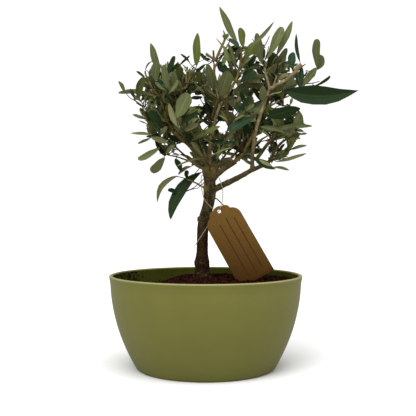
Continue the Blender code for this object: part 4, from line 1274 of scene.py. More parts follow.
# %% Lines of wood and leaf in the picture
# How far before a line a point must lie to hide it, and how far behind it to be hidden
HIDES_FROM = 1.5 * MM
HIDDEN_FROM = 0.5 * MM
# Half the width of each kind of line, in pixels
TRUNK_LINE, BOUGH_LINE, TWIG_LINE = 5, 1.9, 1
TRUNK_SHOWN_FROM = 205 * MM

class Lines:
    """Lines as the picture shows them, to ask what lies before and what lies behind them."""

    def __init__(self):
        self.rows, self.table = [], None

    def add(self, points, radius):
        """Adds a path. The radius is in pixels."""
        spots = [(*pixel_of(point), point.y) for point in points]
        self.rows += [(*a, *b, radius) for a, b in zip(spots, spots[1:])]
        self.table = None

    def depths_at(self, points):
        """How far behind each line each point lies, in metres, or 0 where it shows beside it."""
        if self.table is None:
            self.table = np.array(self.rows).T[:, None, :]
        ax, ay, a_depth, bx, by, b_depth, radius = self.table
        x, y, depth = np.array([(*pixel_of(point), point.y) for point in points]).T[:, :, None]
        reach = (bx - ax) ** 2 + (by - ay) ** 2 + 1e-9
        share = (((x - ax) * (bx - ax) + (y - ay) * (by - ay)) / reach).clip(0, 1)
        off = np.hypot(ax + share * (bx - ax) - x, ay + share * (by - ay) - y)
        return (off < radius) * (depth - a_depth - share * (b_depth - a_depth))

    def hidden_by(self, points, share=0.0):
        """Whether more than a share of the points pass in front of some line."""
        return float((self.depths_at(points) < -HIDES_FROM).any(1).mean()) > share

    def share_over(self, points):
        """The share of the points that some line passes in front of."""
        return float((self.depths_at(points) > HIDDEN_FROM).any(1).mean())

SHOWN_BOUGHS = (
    "bough_right_low", "bough_right_rise", "bough_right_top", "bough_right_stub", "bough_mid_right",
    "bough_centre", "bough_centre_left", "bough_centre_tip", "bough_centre_right",
    "bough_left_low", "bough_left_under", "bough_left_hang", "bough_sucker",
)
shown, other_wood, all_wood = Lines(), Lines(), Lines()
shown.add([point for point in paths["trunk"] if point.z > TRUNK_SHOWN_FROM], TRUNK_LINE)
for bough in BOUGHS:
    for lines in (shown if bough.name in SHOWN_BOUGHS else other_wood, all_wood):
        lines.add(paths[bough.name], BOUGH_LINE)
for piece in wood:
    for lines in (other_wood, all_wood):
        lines.add(piece.path, TWIG_LINE)

def spread_points(blade, first=0.12):
    """Points all over a leaf, from a share of its length on."""
    shares = np.linspace(first, 1, 7)
    return [blade_point(blade, share, side * math.sin(math.pi * min(share, 0.85)) ** 0.5)
            for share in shares for side in (-1, 0, 1)]

# %% [markdown]
# ## Wood and leaves that stand out
#
# An olive leaf is long and leathery, dark above and pale below. Some leaves, and some bare twigs and cut
# stubs, stand so clear in the picture that the eye goes to them first. They are listed by where they
# show. Each one starts on wood that is near it in the picture, or hangs from it on a stalk, at about that
# wood's depth. So it is carried properly from every side, and what is nearer may not cover it.

# %% Twigs placed where the picture shows them
# Each is (pixels from its foot to its tip, width at the foot and the tip in pixels, tint)
# A brown tint in this table partly stands for a twig in shadow, as painted shade
SEEN_TWIGS = (
    (((203, 163), (190, 146), (181, 138.5), (173, 130), (167, 121), (163, 106), (159.7, 97.4),
      (154.5, 91.7), (150.5, 84.8), (146, 75.6), (145, 71)), 5.2, 1.6, "ochre"),
    (((166, 151), (158, 141), (154, 133.6), (150.3, 127.6), (147.6, 121.5), (144.2, 113.5),
      (142.5, 106.6), (138.5, 103), (134.4, 100.3)), 2.4, 1.2, "brown"),
    (((142.5, 107), (143.5, 103), (144.2, 100.5)), 1.5, 1.2, "brown"),
    (((174, 129), (173, 110), (171.8, 103), (171.2, 95)), 3.2, 2.4, "brown"),
    (((173, 110), (179, 98), (181.5, 89), (183, 79)), 2.4, 2.0, "brown"),
    (((160.3, 96), (157.4, 86)), 1.6, 1.4, "brown"),
    (((161, 98), (162.6, 88.8)), 1.5, 1.3, "ochre"),
    (((186, 88), (187.5, 83.2), (191.5, 74.6), (195.5, 68.4)), 2.3, 2.1, "ochre"),
    (((187, 84), (186.1, 78), (187.3, 71)), 1.8, 1.5, "ochre"),
    (((219, 103), (212, 97), (206.5, 93.2), (202, 86), (199, 82.7)), 1.8, 1.3, "brown"),
    (((214, 59), (210, 56.5), (205.8, 53.4)), 2.7, 2.5, "tan"),
    (((214, 59), (213.3, 50.5)), 2.2, 2.0, "brown"),
    (((272.5, 88), (274.1, 84.4), (276.7, 75.7)), 1.9, 1.5, "tan"),
    (((267, 74), (268, 71), (274, 64.3)), 1.9, 1.4, "ochre"),
    (((283, 106), (282.8, 94)), 1.8, 1.5, "ochre"),
    (((215.5, 60), (219.5, 51), (223.5, 42.5), (226, 36)), 3, 2.4, "ochre"),
    (((224, 99), (231, 88.5), (236.8, 78), (240, 66), (241.5, 53)), 3.4, 2.4, "ochre"),
    (((233, 162), (241, 156.3), (246.7, 146), (253, 135), (257, 127)), 4.4, 3.4, "ochre"),
    (((242.6, 152), (240.4, 143), (238, 131.7), (231.7, 124.2), (229.4, 119), (226.6, 108.7),
      (227, 97)), 3.4, 3.2, "brown"),
    (((257, 158), (266.8, 145), (274.8, 136.3), (278, 129)), 4.2, 2.8, "brown"),
    (((269, 161.5), (274.8, 151), (281.7, 142.4), (291, 136.7), (298.4, 132.6)), 4.2, 1.5, "brown"),
    (((245.5, 149), (252.4, 141)), 1.6, 1.3, "brown"),
    (((212, 119), (215, 108), (218.6, 100), (224, 98)), 2.8, 2.2, "brown"),
    (((214, 125), (208.5, 119), (201, 116)), 1.8, 1.2, "brown"),
)
SEEN_TWIG_LEAN = 0.1
SEEN_TWIG_FORWARD = 1.5 * MM
SEEN_TWIG_PULL = 40
SEEN_TWIG_LEAF = 26 * MM
LIMB_POINTS_APART = 5 * MM
limb_points = []

def add_limb_points(path):
    for a, b in zip(path, path[1:]):
        count = max(1, round((b - a).length / LIMB_POINTS_APART))
        limb_points.extend(a.lerp(b, i / count) for i in range(1, count + 1))

def carriers(pixel, front_pull):
    """Points of the wood, the likeliest to carry what shows at a pixel first."""
    spot = Vector(pixel)
    ranked = sorted((((pixel_of(point) - spot).length + point.y * front_pull, number)
                     for number, point in enumerate(limb_points)))
    return [limb_points[number] for _, number in ranked]

for bough in BOUGHS:
    add_limb_points(paths[bough.name])
wood_runs = {"brown": [], "ochre": [], "tan": []}
seen_wood = []
for number, (pixels, base, tip, tint) in enumerate(SEEN_TWIGS):
    start = carriers(pixels[0], SEEN_TWIG_PULL)[0]
    path = [start]
    for pixel in pixels:
        walked = (path[-1] - start).length
        depth = start.y - SEEN_TWIG_FORWARD - SEEN_TWIG_LEAN * walked
        path.append(place_of(pixel, depth))
    girths = tapered(path, base / 2 * pixel_size(start.y), tip / 2 * pixel_size(start.y))
    wood_runs[tint].append((path, girths))
    room.add(*twig_prism(path, girths), ("seen twig", number))
    for lines in (shown, all_wood):
        lines.add(path[1:], (base + tip) / 4 + 0.5)
    add_limb_points(path)
    seen_wood.append(Wood(path, girths[0], girths[-1], ("seen twig", number), SEEN_TWIG_LEAF))
for piece in wood:
    add_limb_points(piece.path)
print(len(SEEN_TWIGS), "twigs placed by eye,", len(limb_points), "points to hang leaves on")

# %% Leaves placed where the picture shows them
# Each is (x and y of its base and of its tip, its width, all in pixels, its tint, how far it bows
# to its right as a share of its length, and how pointed its tip is), the ones in front first
# A dark tint in this table is partly the leaf's own colour and partly painted shade for a leaf in shadow
SEEN_LEAVES = (
    (293, 122.8, 286.8, 117.6, 5.6, "dark", 0, 0.4), (157.4, 97, 118.1, 92.8, 4.6, "dusk", 0.07, 0.5),
    (300.5, 108.5, 268.5, 116, 11, "dark", 0, 0.5), (268, 114.4, 292, 107, 2.2, "sage", -0.04, 0.6),
    (247, 48, 274.2, 21.2, 4.6, "dusk", 0.08, 0.9), (262, 64, 256.9, 32.8, 7.6, "sage", 0, 0.5),
    (268.5, 131.5, 312.7, 126, 4.6, "sage", -0.05, 0.7),
    (260, 126.8, 285.6, 132.4, 4.2, "sage", -0.06, 0.6), (284, 90, 358.8, 90.4, 18.6, "dark", 0.085, 1.1),
    (201.5, 172, 170.4, 219.5, 12, "dark", 0.13, 0.7),
    (178.2, 175.8, 157.3, 202.4, 5.8, "dusk", 0.2, 0.8), (237.4, 44, 219.3, 6.3, 7.8, "sage", 0, 0.9),
    (196.6, 66, 197.5, 32.7, 8, "lime", 0, 0.7), (243, 48, 239.7, 27.6, 7.6, "lime", 0.03, 0.5),
    (175.8, 118, 187.8, 92.8, 14, "sage", 0.03, 0.5),
    (180.4, 128.4, 168.9, 103.1, 5.8, "pale", -0.08, 0.7),
    (255.8, 117.3, 228.3, 131.1, 10, "blue", 0.03, 0.4),
    (189.7, 142, 220.3, 126.5, 6.2, "olive", -0.05, 0.6), (220.2, 97, 228.2, 70.6, 13, "sage", 0, 0.6),
    (213.3, 90, 207, 63.7, 9.8, "sage", 0, 0.7), (263.9, 86.5, 231.7, 94.2, 6.8, "dusk", 0.14, 0.6),
    (263.3, 86, 262.7, 101.2, 7.5, "dusk", 0, 0.7), (160, 147, 138.2, 159.9, 7.2, "dusk", -0.05, 0.35),
    (164.8, 157.3, 151.5, 172.4, 8.5, "dusk", -0.03, 0.35), (159, 72, 150.5, 42.9, 7.4, "sage", 0, 0.8),
    (154.5, 82, 157, 60, 8.8, "sage", 0, 0.7), (168.5, 89, 164, 64.5, 7, "sage", -0.05, 0.4),
    (166.5, 75, 174.8, 56, 5.6, "dark", 0, 0.4), (166, 78, 178.6, 61.8, 3.4, "dark", 0, 0.5),
    (181, 79.5, 179.5, 66.5, 7.4, "olive", 0, 0.4), (190, 63, 180.4, 53.8, 2.3, "blue", 0.06, 0.6),
    (178.6, 65.8, 190, 55.5, 2.3, "dark", 0, 0.6), (145.3, 71, 153.5, 60.5, 1.9, "dark", -0.12, 0.8),
    (145.3, 78.5, 136.2, 71.3, 3.2, "dark", 0.05, 0.6),
    (138, 100.3, 143.6, 76.7, 7.5, "olive", -0.05, 0.5), (124.7, 91.7, 118.4, 81, 4, "sage", 0.04, 0.8),
    (134.5, 98, 130.3, 88.5, 3.4, "blue", 0, 0.8), (144.5, 101, 150.5, 84, 6, "olive", 0, 0.5),
    (157.5, 101.5, 148.3, 108.2, 3, "dark", 0.15, 0.5), (162, 124, 149.5, 111, 9.8, "dark", 0, 0.5),
    (163, 122, 152, 107.5, 6, "dusk", 0, 0.5), (146.5, 119.2, 132.4, 114.6, 4, "sage", 0, 0.7),
    (147, 124, 138.5, 120.4, 1.5, "sage", 0, 0.7), (181.2, 124, 198.2, 110, 4.4, "dark", 0.04, 0.7),
    (177, 96, 198, 86.5, 4.5, "dark", -0.12, 0.5), (169, 85, 183.5, 76.5, 2.2, "dark", -0.04, 0.5),
    (236.3, 68.3, 215.6, 37.9, 2.8, "dusk", 0.03, 0.7), (225.6, 38, 223.3, 30.1, 1.9, "sage", 0, 0.7),
    (236.3, 66, 227.6, 43.6, 3.6, "sage", 0.04, 0.4), (239.7, 47.6, 228.2, 38.5, 6, "blue", 0, 0.8),
    (216.7, 60.3, 248.3, 48.2, 2, "dark", -0.14, 0.7), (244, 58.5, 255.5, 43, 9, "lime", 0, 0.5),
    (262.7, 52, 263, 44, 3, "pale", 0, 0.4), (264, 59, 263.5, 48, 3.5, "dark", 0, 0.6),
    (223, 66, 226, 54.5, 4.6, "lime", 0, 0.6), (208.7, 62, 198.9, 52.8, 4, "blue", 0, 0.7),
    (203.5, 59.7, 188.6, 69.7, 1.8, "dark", 0.05, 0.7), (206, 64, 196, 72.5, 4, "dark", 0, 0.6),
    (228.5, 74.5, 218, 62.5, 8.5, "blue", 0, 0.5), (234.5, 80.4, 233.4, 68.9, 6.3, "olive", 0, 0.5),
    (240.5, 83, 255.5, 71, 12, "dark", -0.06, 0.4), (246, 69, 256.3, 56.8, 6, "dark", 0, 0.6),
    (242, 70.6, 260.4, 66.6, 2.4, "sage", -0.05, 0.6), (244.3, 60.8, 249.5, 69.5, 1.5, "dark", 0, 0.6),
    (201, 86, 197, 68, 6, "olive", 0, 0.6), (216.5, 92, 213, 70, 4, "blue", 0, 0.6),
    (267.4, 57, 282.1, 26.8, 9.4, "sage", 0.02, 0.4), (276.1, 55.6, 292.5, 20.8, 6.7, "sage", 0.03, 0.8),
    (274.1, 66.3, 287.1, 48.2, 6, "sage", 0.04, 0.5), (299.9, 62, 296.2, 33.5, 3.9, "blue", -0.06, 0.75),
    (316.9, 67.6, 316.6, 38.8, 7.8, "sage", 0, 0.35), (317, 70, 320.4, 54.6, 7.4, "dusk", 0.16, 0.4),
    (300.2, 86.4, 316.9, 67.6, 7.4, "sage", 0.04, 0.6), (313, 86.3, 330.4, 75.8, 2.8, "dark", 0.08, 0.35),
    (291, 68, 293, 52, 8, "blue", 0, 0.6), (278, 66.3, 286.8, 62.3, 2, "blue", 0, 0.6),
    (267.4, 67, 274.4, 52.2, 5.4, "dark", 0, 0.6), (299.5, 87, 301.5, 66.3, 5, "blue", 0.04, 0.6),
    (300.2, 80.4, 307.6, 71.7, 1.8, "dark", 0, 0.4), (289.5, 72.3, 287.8, 62.3, 3, "lime", 0, 0.5),
    (286, 88, 290.5, 76, 5, "olive", 0, 0.6), (274.7, 92.8, 282.1, 91.1, 1.8, "lime", 0.1, 0.6),
    (152.7, 134.5, 130.6, 133.3, 3.6, "sage", 0.02, 0.7),
    (153.9, 136.7, 146.1, 136.4, 2.4, "blue", 0, 0.6), (150.9, 137.9, 137.6, 143.6, 2.5, "dusk", 0, 0.6),
    (166, 156, 154.5, 139, 7.3, "dark", 0, 0.9), (150.3, 137, 167.3, 142.6, 5.6, "dusk", 0, 0.6),
    (158.8, 135.5, 167.3, 127, 5.5, "sage", 0, 0.5), (175, 158.5, 181, 171, 6, "dark", -0.05, 0.7),
    (204.8, 158.5, 177, 166.4, 2.7, "pale", 0.06, 0.6),
    (191.5, 166.4, 178.2, 174.8, 3.6, "dusk", 0.12, 0.6),
    (178.4, 193.5, 167.9, 189.4, 4.4, "dark", 0.05, 0.4),
    (198.2, 188.2, 183.6, 193, 1.5, "dark", 0.06, 0.6),
    (186.8, 178.8, 186.4, 170.2, 4.6, "dark", 0, 0.35), (198.2, 118, 187.9, 123.3, 4, "pale", 0, 0.5),
    (198.8, 124, 184.2, 130, 8, "dusk", 0, 0.4), (198.8, 140.3, 207.9, 156, 9, "blue", 0, 0.5),
    (166.7, 133.6, 179.4, 141.5, 5.5, "dark", 0, 0.5), (163.6, 137.6, 180.6, 143.9, 1.8, "pale", 0, 0.6),
    (245.5, 114.4, 235.2, 119.6, 3.4, "pale", 0, 0.5), (252, 128, 240, 133, 5, "dark", 0, 0.5),
    (249.5, 95.5, 242.6, 107.6, 5, "dark", 0, 0.6), (240, 113, 235.5, 104, 5, "dark", 0, 0.4),
    (220, 134.5, 235, 138.3, 3, "dark", 0.06, 0.6), (236.9, 142, 215.1, 143.1, 2.6, "blue", 0, 0.6),
    (238.6, 144.9, 205.9, 143.7, 2.9, "pale", -0.06, 0.6),
    (209.4, 157.5, 231.7, 147.7, 2.2, "lime", -0.06, 0.6), (232.9, 146, 238, 150.5, 4, "dark", 0, 0.5),
    (221, 153.5, 238, 155, 3.5, "olive", 0, 0.5), (235.2, 157, 220.3, 160.4, 3, "dusk", 0, 0.5),
    (254.5, 156.5, 276, 169.3, 7, "dark", 0.1, 0.8), (258.5, 159.3, 272, 166, 4, "pale", 0.03, 0.6),
    (272, 167.1, 289.2, 170.2, 3.4, "dusk", -0.04, 0.6), (242, 158.6, 252.4, 165, 3.4, "dusk", 0, 0.5),
    (299, 110.5, 301.5, 127, 8.5, "dusk", 0.06, 0.5), (275, 115.5, 282, 128, 9, "olive", 0, 0.5),
    (258.2, 130.4, 269.7, 137.2, 2, "lime", -0.1, 0.6), (299.5, 134.4, 307, 133.2, 2.3, "sage", 0, 0.6),
    (287.8, 150.4, 293.5, 136.9, 6.9, "olive", 0, 0.5),
    (289.8, 149.9, 307, 145.3, 3.4, "sage", -0.03, 0.7),
    (286.3, 151.3, 278.3, 153.3, 2.6, "pale", 0, 0.5), (276, 161.9, 306.7, 153.3, 3.4, "pale", 0.02, 0.7),
    (277.7, 152.2, 284.6, 143.6, 3, "dark", 0, 0.6), (275, 93, 281.5, 106, 7.5, "dark", 0, 0.6),
    (290.3, 105, 292.1, 98.2, 3, "pale", 0, 0.5), (225, 39.5, 228, 33.5, 3.4, "lime", 0, 0.5),
    (224.5, 39, 223, 34.5, 2.4, "lime", 0, 0.5), (228, 63, 224, 46, 4.4, "sage", 0, 0.6),
    (171, 126, 164, 142, 7, "olive", 0, 0.5), (253, 88, 262, 101, 6, "olive", 0, 0.5),
    (236, 96, 226, 112, 7, "dark", 0, 0.5), (206, 103, 200, 119, 5, "dark", 0, 0.5),
    (210, 112, 222, 121, 5, "dark", 0, 0.5), (200, 93, 189, 86, 4, "dark", 0, 0.6),
    (203, 97, 191, 98, 4, "dark", 0, 0.6), (206, 108, 191, 107.5, 3.6, "dark", 0, 0.6),
    (184, 98, 172, 92, 5, "dark", 0, 0.6), (152, 120, 149, 106, 5, "olive", 0, 0.6),
    (249, 146, 262, 152, 3.4, "dark", 0, 0.6), (262, 117, 270, 127, 6, "dark", 0, 0.5),
    (262, 140, 252, 148, 4, "dark", 0, 0.6), (214, 112, 203, 121, 4.5, "dark", 0, 0.6),
    (200, 118, 213, 127, 4, "dark", 0, 0.6), (216, 117, 226, 121, 3.4, "dark", 0, 0.6),
    (232, 84, 262, 83, 4.4, "dusk", -0.1, 0.6), (241, 88, 250, 96, 5, "dark", 0, 0.5),
)
# The leaves of a spray share a tint, and the numbers say how often each tint is dealt
# The many dark ones are partly old leaves and partly painted shade for leaves inside the crown
TINT_DEAL = {"dark": 26, "olive": 27, "dusk": 16, "sage": 20, "blue": 6, "pale": 4, "lime": 1}
# High on the right, where the light falls, more of them are sage: painted highlight dealt by place
LIT_DEAL = {"dark": 9, "olive": 20, "dusk": 18, "sage": 38, "blue": 6, "pale": 8, "lime": 1}
LIT_CORNER = (44 * MM, 318 * MM)

Leaf = namedtuple("Leaf", "blade tint swell point fold twist bow sweep")
leaves = []

def shaped(draw, blade, tint, calm=False, sweep=0.0, bow=0.0, point=None):
    """A leaf with its own small bends. A calm one keeps its face as it was set."""
    loose = 0.3 if calm else 1.0
    return Leaf(
        blade, tint,
        swell=draw.uniform(0.66, 0.86) if calm else draw.uniform(0.75, 1.05),
        point=point or draw.uniform(0.38, 0.8),
        fold=draw.uniform(0.02, 0.3),
        twist=draw.uniform(-0.9, 0.9) * loose,
        bow=bow + draw.uniform(-0.05, 0.08) * loose,
        sweep=sweep + draw.uniform(-0.05, 0.05) * loose,
    )

# %% Each of them on its own stalk
SEEN_STALK_RADIUS = 0.6 * MM
SEEN_STALK_TIP = 0.42 * MM
SEEN_LEAST_WIDTH = 4.6 * MM
SEEN_LEAST_SHARE = 0.14
SEEN_FRONT_PULL = 90
# How far such a leaf leans to or from the eye, and how far it turns about itself, in degrees
SEEN_LEANS = (-18, 28)
SEEN_TURNS = (4, 28)
SEEN_SHIFTS = (-2, -5, -9)
FRONT_SHIFTS = (-3, -8, -14, -22)
# The long leaf that hangs at the left lies behind the twig that carries it
BEHIND_BASE = (201.5, 172)
BEHIND_SHIFTS = (5, 9)
IN_FRONT_COUNT = 28
SEEN_TRIES = 26
# A leaf's midrib as a line in the picture: where it is read, and half its width in pixels
MIDRIB_SHARES = (0.1, 0.4, 0.7, 0.95)
MIDRIB_LINE_SHARE = 0.36
MIDRIB_WIDEST = 7
STALK_SAG = 0.12
STALK_SINK = 1.5 * MM
# How bad it is that a leaf passes through something, is covered, hides a line that has to show,
# or lies behind other wood, and how far from its wood counts as 1, in pixels and in space
THROUGH, COVERED, HIDING, BEHIND = 4, 6, 2, 2
FAR_PIXELS, FAR = 25, 40 * MM
FAULTY_FROM = 2

def seen_places(base, tip, wide, lean, turn, shifts):
    """Places for a leaf of the picture: the wood that carries it, the leaf and how it is tilted."""
    for anchor in carriers(base, SEEN_FRONT_PULL)[:SEEN_TRIES]:
        for shift in shifts:
            root = place_of(base, anchor.y + shift * MM)
            reach = (place_of(tip, root.y) - root).length
            line = place_of(tip, root.y - reach * math.tan(lean)) - root
            along = line.normalized()
            up = Vector((0, -1, 0.2))
            up = (up - along * up.dot(along)).normalized()
            shown_width = wide * pixel_size(root.y)
            least = min(SEEN_LEAST_WIDTH, SEEN_LEAST_SHARE * reach)
            width = max(shown_width / math.cos(turn), least)
            tilt = math.copysign(math.acos(min(1, shown_width / width)), turn)
            up.rotate(Matrix.Rotation(tilt, 3, along))
            yield anchor, Blade(root, along, up, line.length, width, 0.0), tilt

def place_faults(place, base, in_front):
    """How badly a place serves: what it passes through, hides, is hidden by and is far from."""
    anchor, blade, _ = place
    points = spread_points(blade, 0.25)
    through = room.meets(*blade_plate(blade), None)
    far = (pixel_of(anchor) - Vector(base)).length / FAR_PIXELS + (blade.root - anchor).length / FAR
    if in_front:
        return THROUGH * through + COVERED * all_wood.share_over(points) + far
    seen = HIDING * shown.hidden_by(points) + BEHIND * other_wood.share_over(points)
    return THROUGH * through + seen + far

draw = random.Random(77)
stalk_runs, faulty = [], []
for number, (*pixels, wide, tint, sweep, point) in enumerate(SEEN_LEAVES):
    base, tip = tuple(pixels[:2]), tuple(pixels[2:])
    lean = math.radians(draw.uniform(*SEEN_LEANS))
    turn = math.radians(draw.uniform(*SEEN_TURNS)) * draw.choice((-1, 1))
    in_front = number < IN_FRONT_COUNT and base != BEHIND_BASE
    shifts = FRONT_SHIFTS if in_front else BEHIND_SHIFTS if base == BEHIND_BASE else SEEN_SHIFTS
    places = list(seen_places(base, tip, wide, lean, turn, shifts))
    faults = [place_faults(place, base, in_front) for place in places]
    least = min(faults)
    anchor, blade, tilt = places[faults.index(least)]
    if least > FAULTY_FROM:
        faulty.append((number, round(least, 1)))
    bend = {"sweep": sweep * math.cos(tilt), "bow": sweep * math.sin(tilt)}
    leaves.append(shaped(draw, blade, tint, calm=True, point=point, **bend))
    room.add(*blade_plate(blade, **bend), ("seen", number))
    midrib = [bent_point(blade, share, **bend) for share in MIDRIB_SHARES]
    shown.add(midrib, min(MIDRIB_WIDEST, wide * MIDRIB_LINE_SHARE))
    gap = (blade.root - anchor).length
    middle = anchor.lerp(blade.root, 0.5) - Vector((0, 0, gap * STALK_SAG))
    path = [anchor, middle, blade.root + blade.along * STALK_SINK]
    stalk_runs.append((path, tapered(path, SEEN_STALK_RADIUS, SEEN_STALK_TIP)))
print(len(leaves), "leaves placed by eye, of which these lie less freely:", faulty)

# %% [markdown]
# ## The rest of the leaves, and finer twigs
#
# First come the leaves that the solids hold, unless one would pass through a leaf listed above.
# Then the crown is carried on: leaves that had no room in the solids are tried again, now that
# they need no gap, and every stem and twig puts out finer shoots of its own. A new leaf must stay
# near the crown's solids, inside the model's box, and out of the patches of open sky.

# %% Open sky in the crown
# Each is a pixel of the picture and a radius in pixels
SKY = (
    ((191.7, 102), 5), ((198.5, 102), 5), ((224, 128), 5), ((256.6, 97), 4), ((288.6, 100), 4),
    ((277, 105), 3.5), ((240.9, 103), 2), ((262.5, 137.5), 4.5), ((281.7, 143.6), 4.5),
    ((264, 145), 3), ((264, 155), 3.5), ((232, 151), 2.5), ((222.5, 157), 2.5), ((212.8, 122.5), 1.2),
    ((203.6, 126), 3), ((198.5, 117), 1.6), ((183, 148.8), 5), ((143, 104), 2.5), ((169, 166), 6),
    ((205, 118), 1.6), ((236, 112), 2.5), ((120, 105), 6), ((180, 60), 3),
)
# The crown's edge in the picture, without the leaves that stand out of it, round from the left
CROWN_EDGE = (
    (133, 96), (138, 80), (145, 76), (153, 62), (160, 64), (170, 58), (180, 62), (192, 68), (200, 60),
    (207, 55), (218, 56), (226, 45), (240, 44), (252, 46), (262, 38), (270, 50), (280, 46), (290, 54),
    (298, 62), (304, 72), (302, 84), (292, 90), (290, 104), (302, 112), (305, 122), (308, 128),
    (302, 136), (296, 146), (288, 156), (280, 162), (268, 166), (252, 166), (240, 164), (222, 168),
    (200, 170), (190, 168), (182, 172), (175, 165), (168, 156), (160, 150), (152, 143), (146, 136),
    (145, 126), (142, 118), (138, 108),
)
REACH_FROM_SOLID = 8 * MM
SPARE_REACH = 20 * MM
SPRAY_SHARE = 0.72  # how often a leaf takes its spray's tint
HIDDEN_SHARE = 0.2
SLIM_SHARE = 0.76
FIT_SIZES = (1, 0.8, 0.64)
low_corner = Vector(cad_box[0]) - Vector((1, 1, 0)) * MM
high_corner = Vector(cad_box[1]) + Vector((1, 1, 1)) * MM
edge_x, edge_y = np.array(CROWN_EDGE).T[:, None, :]
next_x, next_y = np.roll(edge_x, -1), np.roll(edge_y, -1)
sky_x, sky_y = np.array([middle for middle, _ in SKY]).T[:, None, :]
sky_radii = np.array([radius for _, radius in SKY])

corners, faces = [], []
for name, node in frame["nodes"].items():
    if name.startswith(("foliage_", "bough_")):
        faces += [[len(corners) + i for i in face.vertices] for face in node.data.polygons]
        corners += [vertex.co for vertex in node.data.vertices]
crown_solid = BVHTree.FromPolygons(corners, faces)

def under_sky(points):
    """Whether any of these points would show outside the crown's edge or in a patch of sky."""
    x, y = np.array([pixel_of(point) for point in points]).T[:, :, None]
    if (np.hypot(sky_x - x, sky_y - y) < sky_radii).any():
        return True
    with np.errstate(divide="ignore", invalid="ignore"):
        crossing = edge_x + (y - edge_y) / (next_y - edge_y) * (next_x - edge_x)
    crosses = ((edge_y > y) != (next_y > y)) & (x < crossing)
    return bool((crosses.sum(1) % 2 == 0).any())

def fits(blade, key, reach):
    """Whether a leaf has room, stays near the solids and leaves sky and wood in view."""
    points = spread_points(blade)
    for point in points:
        if any(point[i] < low_corner[i] or point[i] > high_corner[i] for i in range(3)):
            return False
    if crown_solid.find_nearest(points[-1])[3] > reach:
        return False
    if under_sky(points) or shown.hidden_by(points, HIDDEN_SHARE):
        return False
    return not room.meets(*blade_plate(blade), key)

def fitted(blade, key, reach=REACH_FROM_SOLID):
    """The leaf, slimmer than in the solids, at the greatest size that fits there, or None."""
    for share in FIT_SIZES:
        width = blade.width * SLIM_SHARE * share ** 0.7
        tried = blade._replace(length=blade.length * share, width=width)
        if fits(tried, key, reach):
            return tried
    return None

def deal_tint(draw, root):
    deal = LIT_DEAL if root.x > LIT_CORNER[0] and root.z > LIT_CORNER[1] else TINT_DEAL
    return draw.choices(list(deal), weights=list(deal.values()))[0]

spray_tints = {}

def tint_of(key, draw, root):
    """The tint of a spray, with a leaf of another tint now and then."""
    if key not in spray_tints:
        spray_tints[key] = deal_tint(draw, root)
    return spray_tints[key] if draw.random() < SPRAY_SHARE else deal_tint(draw, root)

def hang(draw, blade, key):
    """Adds a leaf to its spray."""
    leaves.append(shaped(draw, blade, tint_of(key, draw, blade.root)))
    room.add(*blade_plate(blade), key)

draw = random.Random(402)
for blades, reach in ((kept_blades, REACH_FROM_SOLID), (spare_blades, SPARE_REACH)):
    for blade, key in blades:
        blade = fitted(blade, key, reach)
        if blade:
            hang(draw, blade, key)
    print(len(leaves), "leaves so far")

# %% Finer shoots
# Each round is (spacing along the wood in mm, how long the leaves are beside the wood's own)
FINE_ROUNDS = ((7, 1), (6, 0.8))
FINE_OPENINGS = (36, 66)
FINE_LENGTHS = (5 * MM, 15 * MM)
FINE_LEAF_DRAW = (0.75, 1.2)
FINE_RADIUS = 0.5 * MM
FINE_TIP = 0.35 * MM
draw = random.Random(1118)
fine_twigs = []

def put_out(piece, place, root, out, size):
    """A finer shoot at a point of a stem or twig, if it and any of its leaves have room."""
    leaf = piece.leaf * size * draw.uniform(*FINE_LEAF_DRAW)
    shoot = leafy_twig(draw, root, out, draw.uniform(*FINE_LENGTHS), leaf)
    key = (piece.key, place, size)
    girths = tapered(shoot.path, FINE_RADIUS, FINE_TIP)
    if room.meets(*twig_prism(shoot.path[1:], girths[1:]), key) or under_sky(shoot.path[1:]):
        return
    blades = [blade for blade in (fitted(blade, key) for blade in shoot.leaves) if blade]
    if not blades:
        return
    room.add(*twig_prism(shoot.path, girths), key)
    fine_twigs.append((shoot.path, girths))
    for blade in blades:
        hang(draw, blade, key)

def put_out_pair(piece, k, root, line, phase, size):
    """Two finer shoots on opposite sides, each pair a quarter turn on from the last."""
    side = turned_side(line, phase + QUARTER_TURN * k)
    for way in (1, -1):
        out = opened(line, side * way, draw.uniform(*FINE_OPENINGS)).normalized()
        put_out(piece, (k, way), root, out, size)

# In front of the crown the shoots grow towards the eye, so that they hide little of it
NEAR_SPACING = 4 * MM
NEAR_DEPTH = 6 * MM
for piece in wood + seen_wood:
    length = path_length(piece.path)
    for k in range(int(length / NEAR_SPACING)):
        root = point_along(piece.path, (k + draw.uniform(0, 1)) * NEAR_SPACING)
        out = Vector((draw.uniform(-0.6, 0.6), -1, draw.uniform(-0.3, 0.7))).normalized()
        if root.y < NEAR_DEPTH:
            put_out(piece, ("near", k), root, out, 1.0)
print(len(fine_twigs), "shoots to the front,", len(leaves), "leaves so far")
for spacing, size in FINE_ROUNDS:
    for piece in wood + seen_wood:
        length = path_length(piece.path)
        count = int(length / (spacing * MM))
        phase = draw.uniform(0, 90)
        for k in range(count):
            root = point_along(piece.path, (k + draw.uniform(0.3, 0.9)) * length / count)
            ahead = point_along(piece.path, min(length, (k + 1) * length / count))
            far = (ahead - root).length > MM
            line = (ahead - root).normalized() if far else tip_heading(piece.path)
            put_out_pair(piece, k, root, line, phase, size)
    print(len(fine_twigs), "finer shoots,", len(leaves), "leaves in all")

# %% [markdown]
# ## The stems and twigs
#
# Older stems are greyish tan like the boughs that they grow from, and the youngest twigs are ochre,
# almost yellow where the light catches them. Deep in the crown and in shadow they are brown: partly their
# own colour, partly painted shade. The finest are still half green. Each kind is a piece of its own,
# swept by the tube tree. A stem starts a little way back inside its bough, so that no joint shows.

